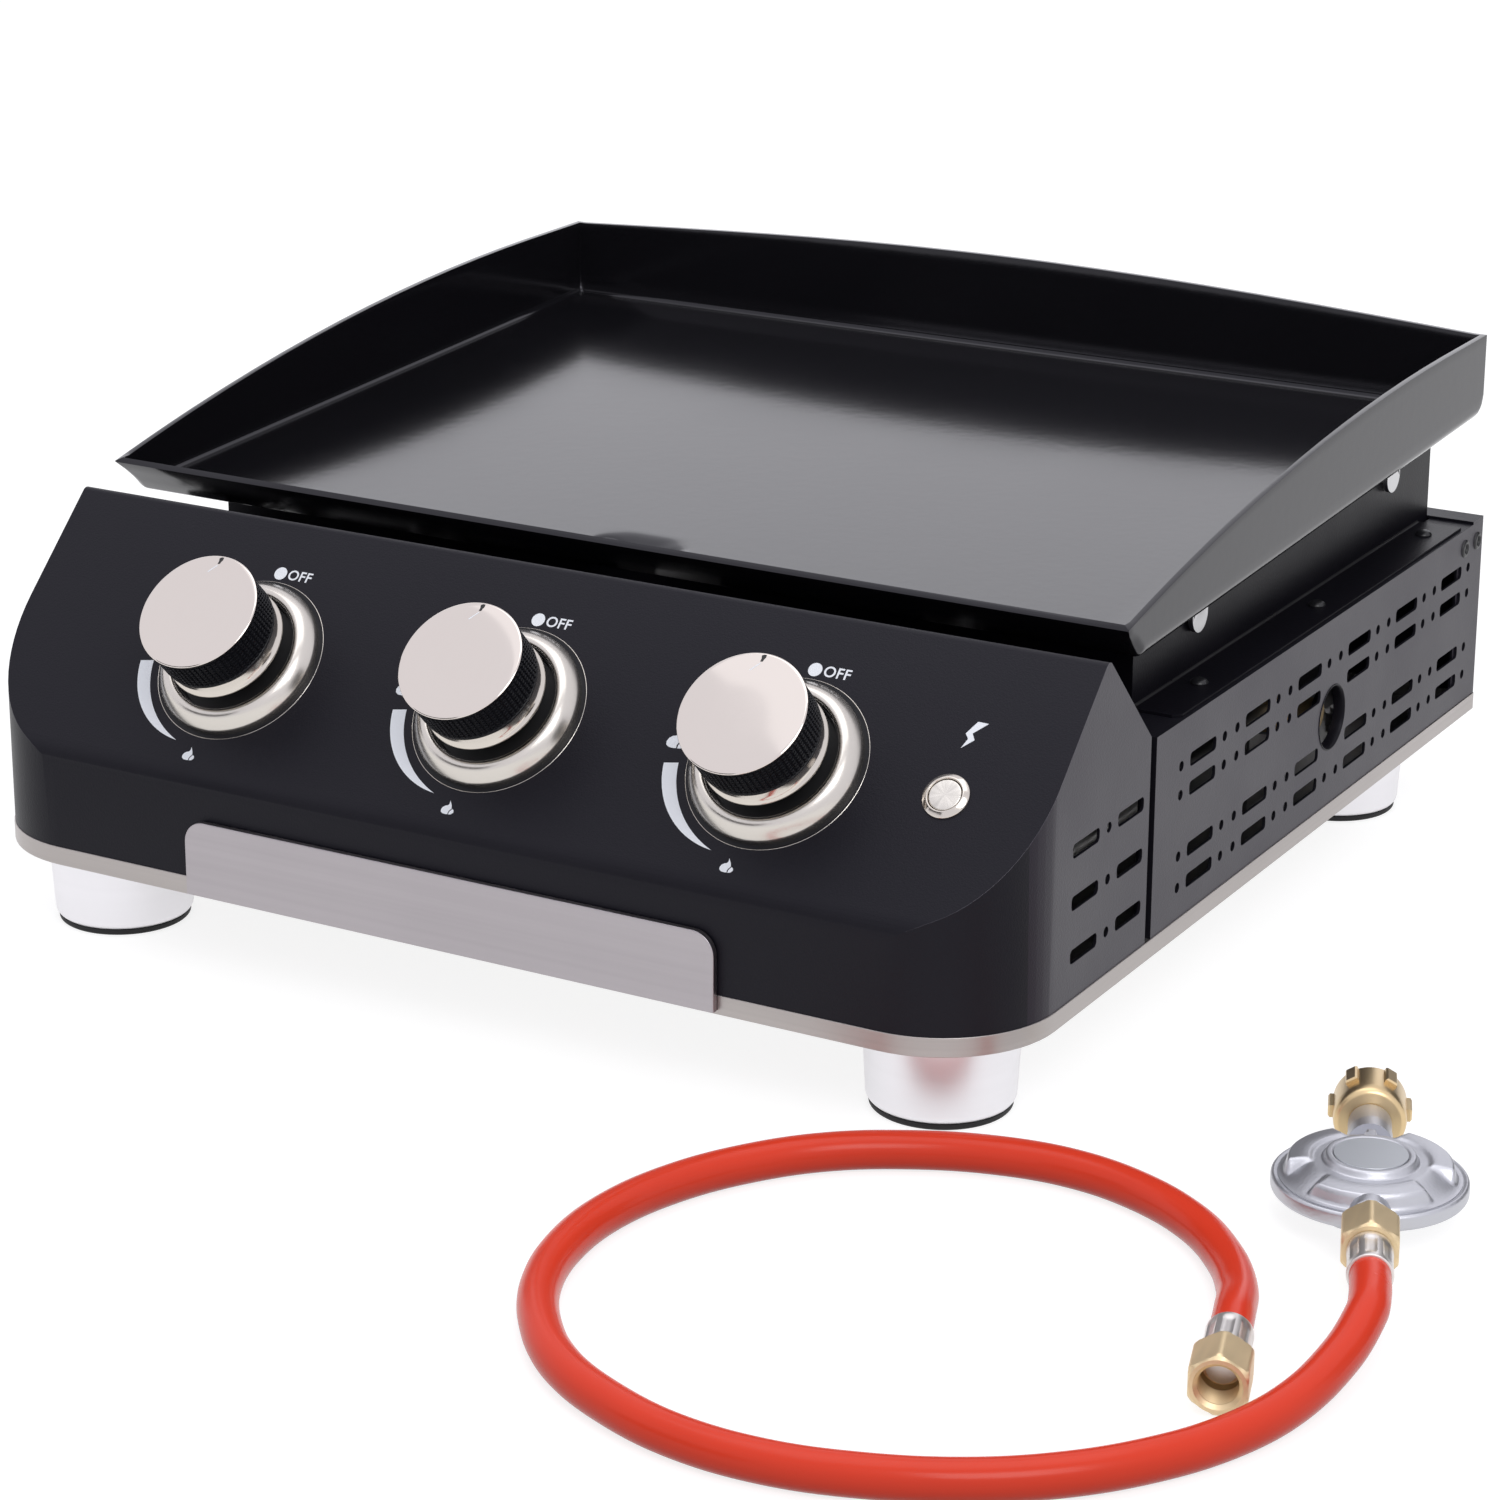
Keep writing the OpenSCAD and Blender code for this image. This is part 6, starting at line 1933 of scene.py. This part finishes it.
    def bottle(self, start: Matrix) -> list[Object]:
        """The lugged hand nut and the nipple inside it.

        Args:
            start: the frame of the neck's end.

        Returns:
            The pieces.
        """
        r, long = 0.0130, 0.021
        nut_place = start @ Matrix.Translation((0, 0, 0.0002))
        outline = rounded([(0.00505, 0.0, 0), (0.0112, 0.0, 0.0005), (0.0126, 0.0012, 0.001), (r, 0.004, 0.001),
                           (r, long - 0.0016, 0.0005), (0.0122, long - 0.0004, 0.0004), (0.0116, long, 0.0002),
                           (0.0109, long, 0.0002), (0.0109, 0.0052, 0.0002), (0.00505, 0.0050, 0)], 3)
        shell = self.shop.lathe("hand_nut", outline, nut_place, 96)
        lugs = self.repeat.rings("hand_nut_lugs", self.lug(), BRASS,
                                 nut_place @ Matrix.Translation((0, 0, long - 0.0076)), radius=r, around=6)
        joined = self.shop.join("hand_nut", (shell, lugs), sharp=34)
        nipple = rounded([(0, 0.0, 0), (0.0050, 0.0, 0), (0.0050, 0.0090, 0.0004), (0.0035, 0.0094, 0.0004),
                          (0.0035, 0.0240, 0), (0.0035, 0.0286, 0.0006), (0.0030, 0.0290, 0.0002),
                          (0.0017, 0.0290, 0.0002), (0.0016, 0.0262, 0), (0, 0.0262, 0)], 3)
        return [self.shop.piece("hand_nut", joined, BRASS, "bottle_nut", ["bottle_nut"]),
                self.shop.piece("nipple", self.shop.lathe("nipple", nipple, start, 48), BRASS, "hose_set",
                                ["bottle_nipple"])]

    def lug(self) -> Mesh:
        """One lug of the hand nut, standing out along X.

        Returns:
            Its mesh.
        """
        w, h, d, e = 0.0023, 0.0052, 0.0017, 0.0006
        points, faces = [], []
        for x, a, b in ((-0.001, w, h), (d - e, w, h), (d, w - e, h - e)):
            points += [(x, -a, -b), (x, a, -b), (x, a, b), (x, -a, b)]
        for j in range(2):
            for k in range(4):
                n = (k + 1) % 4
                faces.append((4 * j + k, 4 * j + n, 4 * j + 4 + n, 4 * j + 4 + k))
        faces += [(3, 2, 1, 0), (8, 9, 10, 11)]
        return self.shop.mesh("lug", points, faces, None, sharp=30)


# ---------------- the studio


@dataclass
class Studio:
    """The pale floor, the soft light and the camera."""

    lens: float = 100.138
    shift: Pair = (0.013491, -0.049238)
    eye: Point = (0.81949, -1.433024, 0.62111)
    right: Point = (0.86488, 0.50197, 0.00167)
    up: Point = (-0.15803, 0.26912, 0.95005)
    floor_half: float = 9.0
    floor_tone: float = 0.34
    floor_glow: float = 0.80
    sky_colour: Colour = (0.945, 0.940, 1.0)
    sky_light: float = 0.62
    sky_seen: float = 1.06
    card_glow: float = 0.045

    def build(self) -> None:
        """Sets up everything that isn't the object."""
        bpy.context.scene.view_settings.view_transform = "Standard"
        self.camera()
        self.floor()
        self.sky()
        self.lamps()
        self.cards()

    def camera(self) -> None:
        """The camera, with the frame's long lens and small shift."""
        data = bpy.data.cameras.new("camera")
        data.sensor_fit = "HORIZONTAL"
        data.sensor_width = 36.0
        data.lens = self.lens
        data.shift_x, data.shift_y = self.shift
        data.clip_end = 60.0
        camera = in_scene("camera", data)
        x = Vector(self.right).normalized()
        y = Vector(self.up)
        y = (y - x * y.dot(x)).normalized()
        z = x.cross(y)
        camera.matrix_world = Matrix.Translation(Vector(self.eye)) @ Matrix((x, y, z)).transposed().to_4x4()
        bpy.context.scene.camera = camera

    @staticmethod
    def seen(tree: NodeTree) -> NodeSocket:
        """Tells what is seen from what only lights.

        Args:
            tree: the material's or the world's tree.

        Returns:
            1 for what the camera, a reflection or a clear body sees, and 0 for soft light.
        """
        path = tree.nodes.new("ShaderNodeLightPath")
        value = path.outputs["Is Camera Ray"]
        for name in ("Is Glossy Ray", "Is Transmission Ray"):
            value = math_node(tree, "MAXIMUM", value, path.outputs[name])
        return value

    def floor(self) -> None:
        """A wide pale floor that keeps the object's shadow."""
        size = self.floor_half
        mesh = bpy.data.meshes.new("floor")
        mesh.from_pydata([(-size, -size, 0), (size, -size, 0), (size, size, 0), (-size, size, 0)], [], [(0, 1, 2, 3)])
        floor = in_scene("floor", mesh)
        material = bpy.data.materials.new("floor paper")
        material.use_nodes = True
        tree = material.node_tree
        shader = tree.nodes["Principled BSDF"]
        tone = self.floor_tone
        set_inputs(shader, {"Base Color": (tone, tone, tone, 1), "Roughness": 0.9, "Specular IOR Level": 0.1,
                            "Emission Color": WHITE})
        glow = math_node(tree, "MULTIPLY", self.seen(tree), self.floor_glow)
        tree.links.new(glow, shader.inputs["Emission Strength"])
        mesh.materials.append(material)

    def sky(self) -> None:
        """A white surround, softer as a light than as a backdrop."""
        world = bpy.data.worlds.new("surround")
        bpy.context.scene.world = world
        world.use_nodes = True
        tree = world.node_tree
        back = tree.nodes["Background"]
        back.inputs["Color"].default_value = (*self.sky_colour, 1)
        mix = tree.nodes.new("ShaderNodeMapRange")
        set_inputs(mix, {"To Min": self.sky_light, "To Max": self.sky_seen})
        tree.links.new(self.seen(tree), mix.inputs["Value"])
        tree.links.new(mix.outputs["Result"], back.inputs["Strength"])

    @staticmethod
    def lamps() -> None:
        """Soft boxes: one overhead, a key on the right, a low one behind and a faint strip above the knobs."""
        for name, spot, aim, size, power, turn in (
                ("top", (-0.1, 0.1, 2.6), (0, 0, 0.1), (2.2, 2.0), 16.0, 0.0),
                ("key", (1.5, -1.5, 1.9), (0.05, 0, 0.1), (1.3, 1.1), 20.0, 0.0),
                ("back", (-1.6, 2.7, 1.05), (0, 0, 0.15), (3.2, 1.4), 6.0, 0.0),
                ("strip", (-1.017, -0.849, 2.5), (-1.017, -0.849, 0.0), (1.1, 0.5), 0.42, -43.7)):
            data = bpy.data.lights.new(name, "AREA")
            data.shape = "RECTANGLE"
            data.size, data.size_y = size
            data.energy = power
            lamp = in_scene(name, data)
            lamp.location = spot
            lamp.rotation_mode = "QUATERNION"
            aimed = (Vector(aim) - Vector(spot)).to_track_quat("-Z", "Y")
            lamp.rotation_quaternion = aimed @ Quaternion((0, 0, 1), math.radians(turn))

    def cards(self) -> None:
        """Two dark cards, seen only in reflections: they keep the insides of the pan's walls black."""
        material = bpy.data.materials.new("card black")
        material.use_nodes = True
        shader = material.node_tree.nodes["Principled BSDF"]
        set_inputs(shader, {"Base Color": (0.004, 0.004, 0.004, 1), "Roughness": 1.0, "Specular IOR Level": 0.0,
                            "Emission Color": WHITE, "Emission Strength": self.card_glow})
        for name, spot, width, height in (("back card", (1.3, 2.25, 0.02), 2.6, 1.6),
                                          ("front card", (-1.3, -2.25, 0.35), 2.0, 0.7)):
            away = Vector((spot[0], spot[1], 0)).normalized()
            across = Vector((-away.y, away.x, 0)) * width / 2
            foot, up = Vector(spot), Vector((0, 0, height))
            mesh = bpy.data.meshes.new(name)
            mesh.from_pydata([foot - across, foot + across, foot + across + up, foot - across + up], [], [(0, 1, 2, 3)])
            mesh.materials.append(material)
            card = in_scene(name, mesh)
            card.visible_camera = card.visible_diffuse = False


def main() -> None:
    """Builds the studio and every sub-assembly in order."""
    logging.basicConfig(level=logging.INFO, format="%(name)s %(message)s")
    Studio().build()
    shop = Workshop(Paintbox())
    repeat = Repeater(shop)
    HoseSet(shop, repeat).build()
    GriddlePlate(shop).build()
    ControlPanel(shop, repeat).build()
    Body(shop, repeat).build()
    GasTrain(shop, repeat).build()
    GreaseTray(shop).build()
    log.info("%d pieces built", shop.count)


if __name__ == "__main__":
    main()
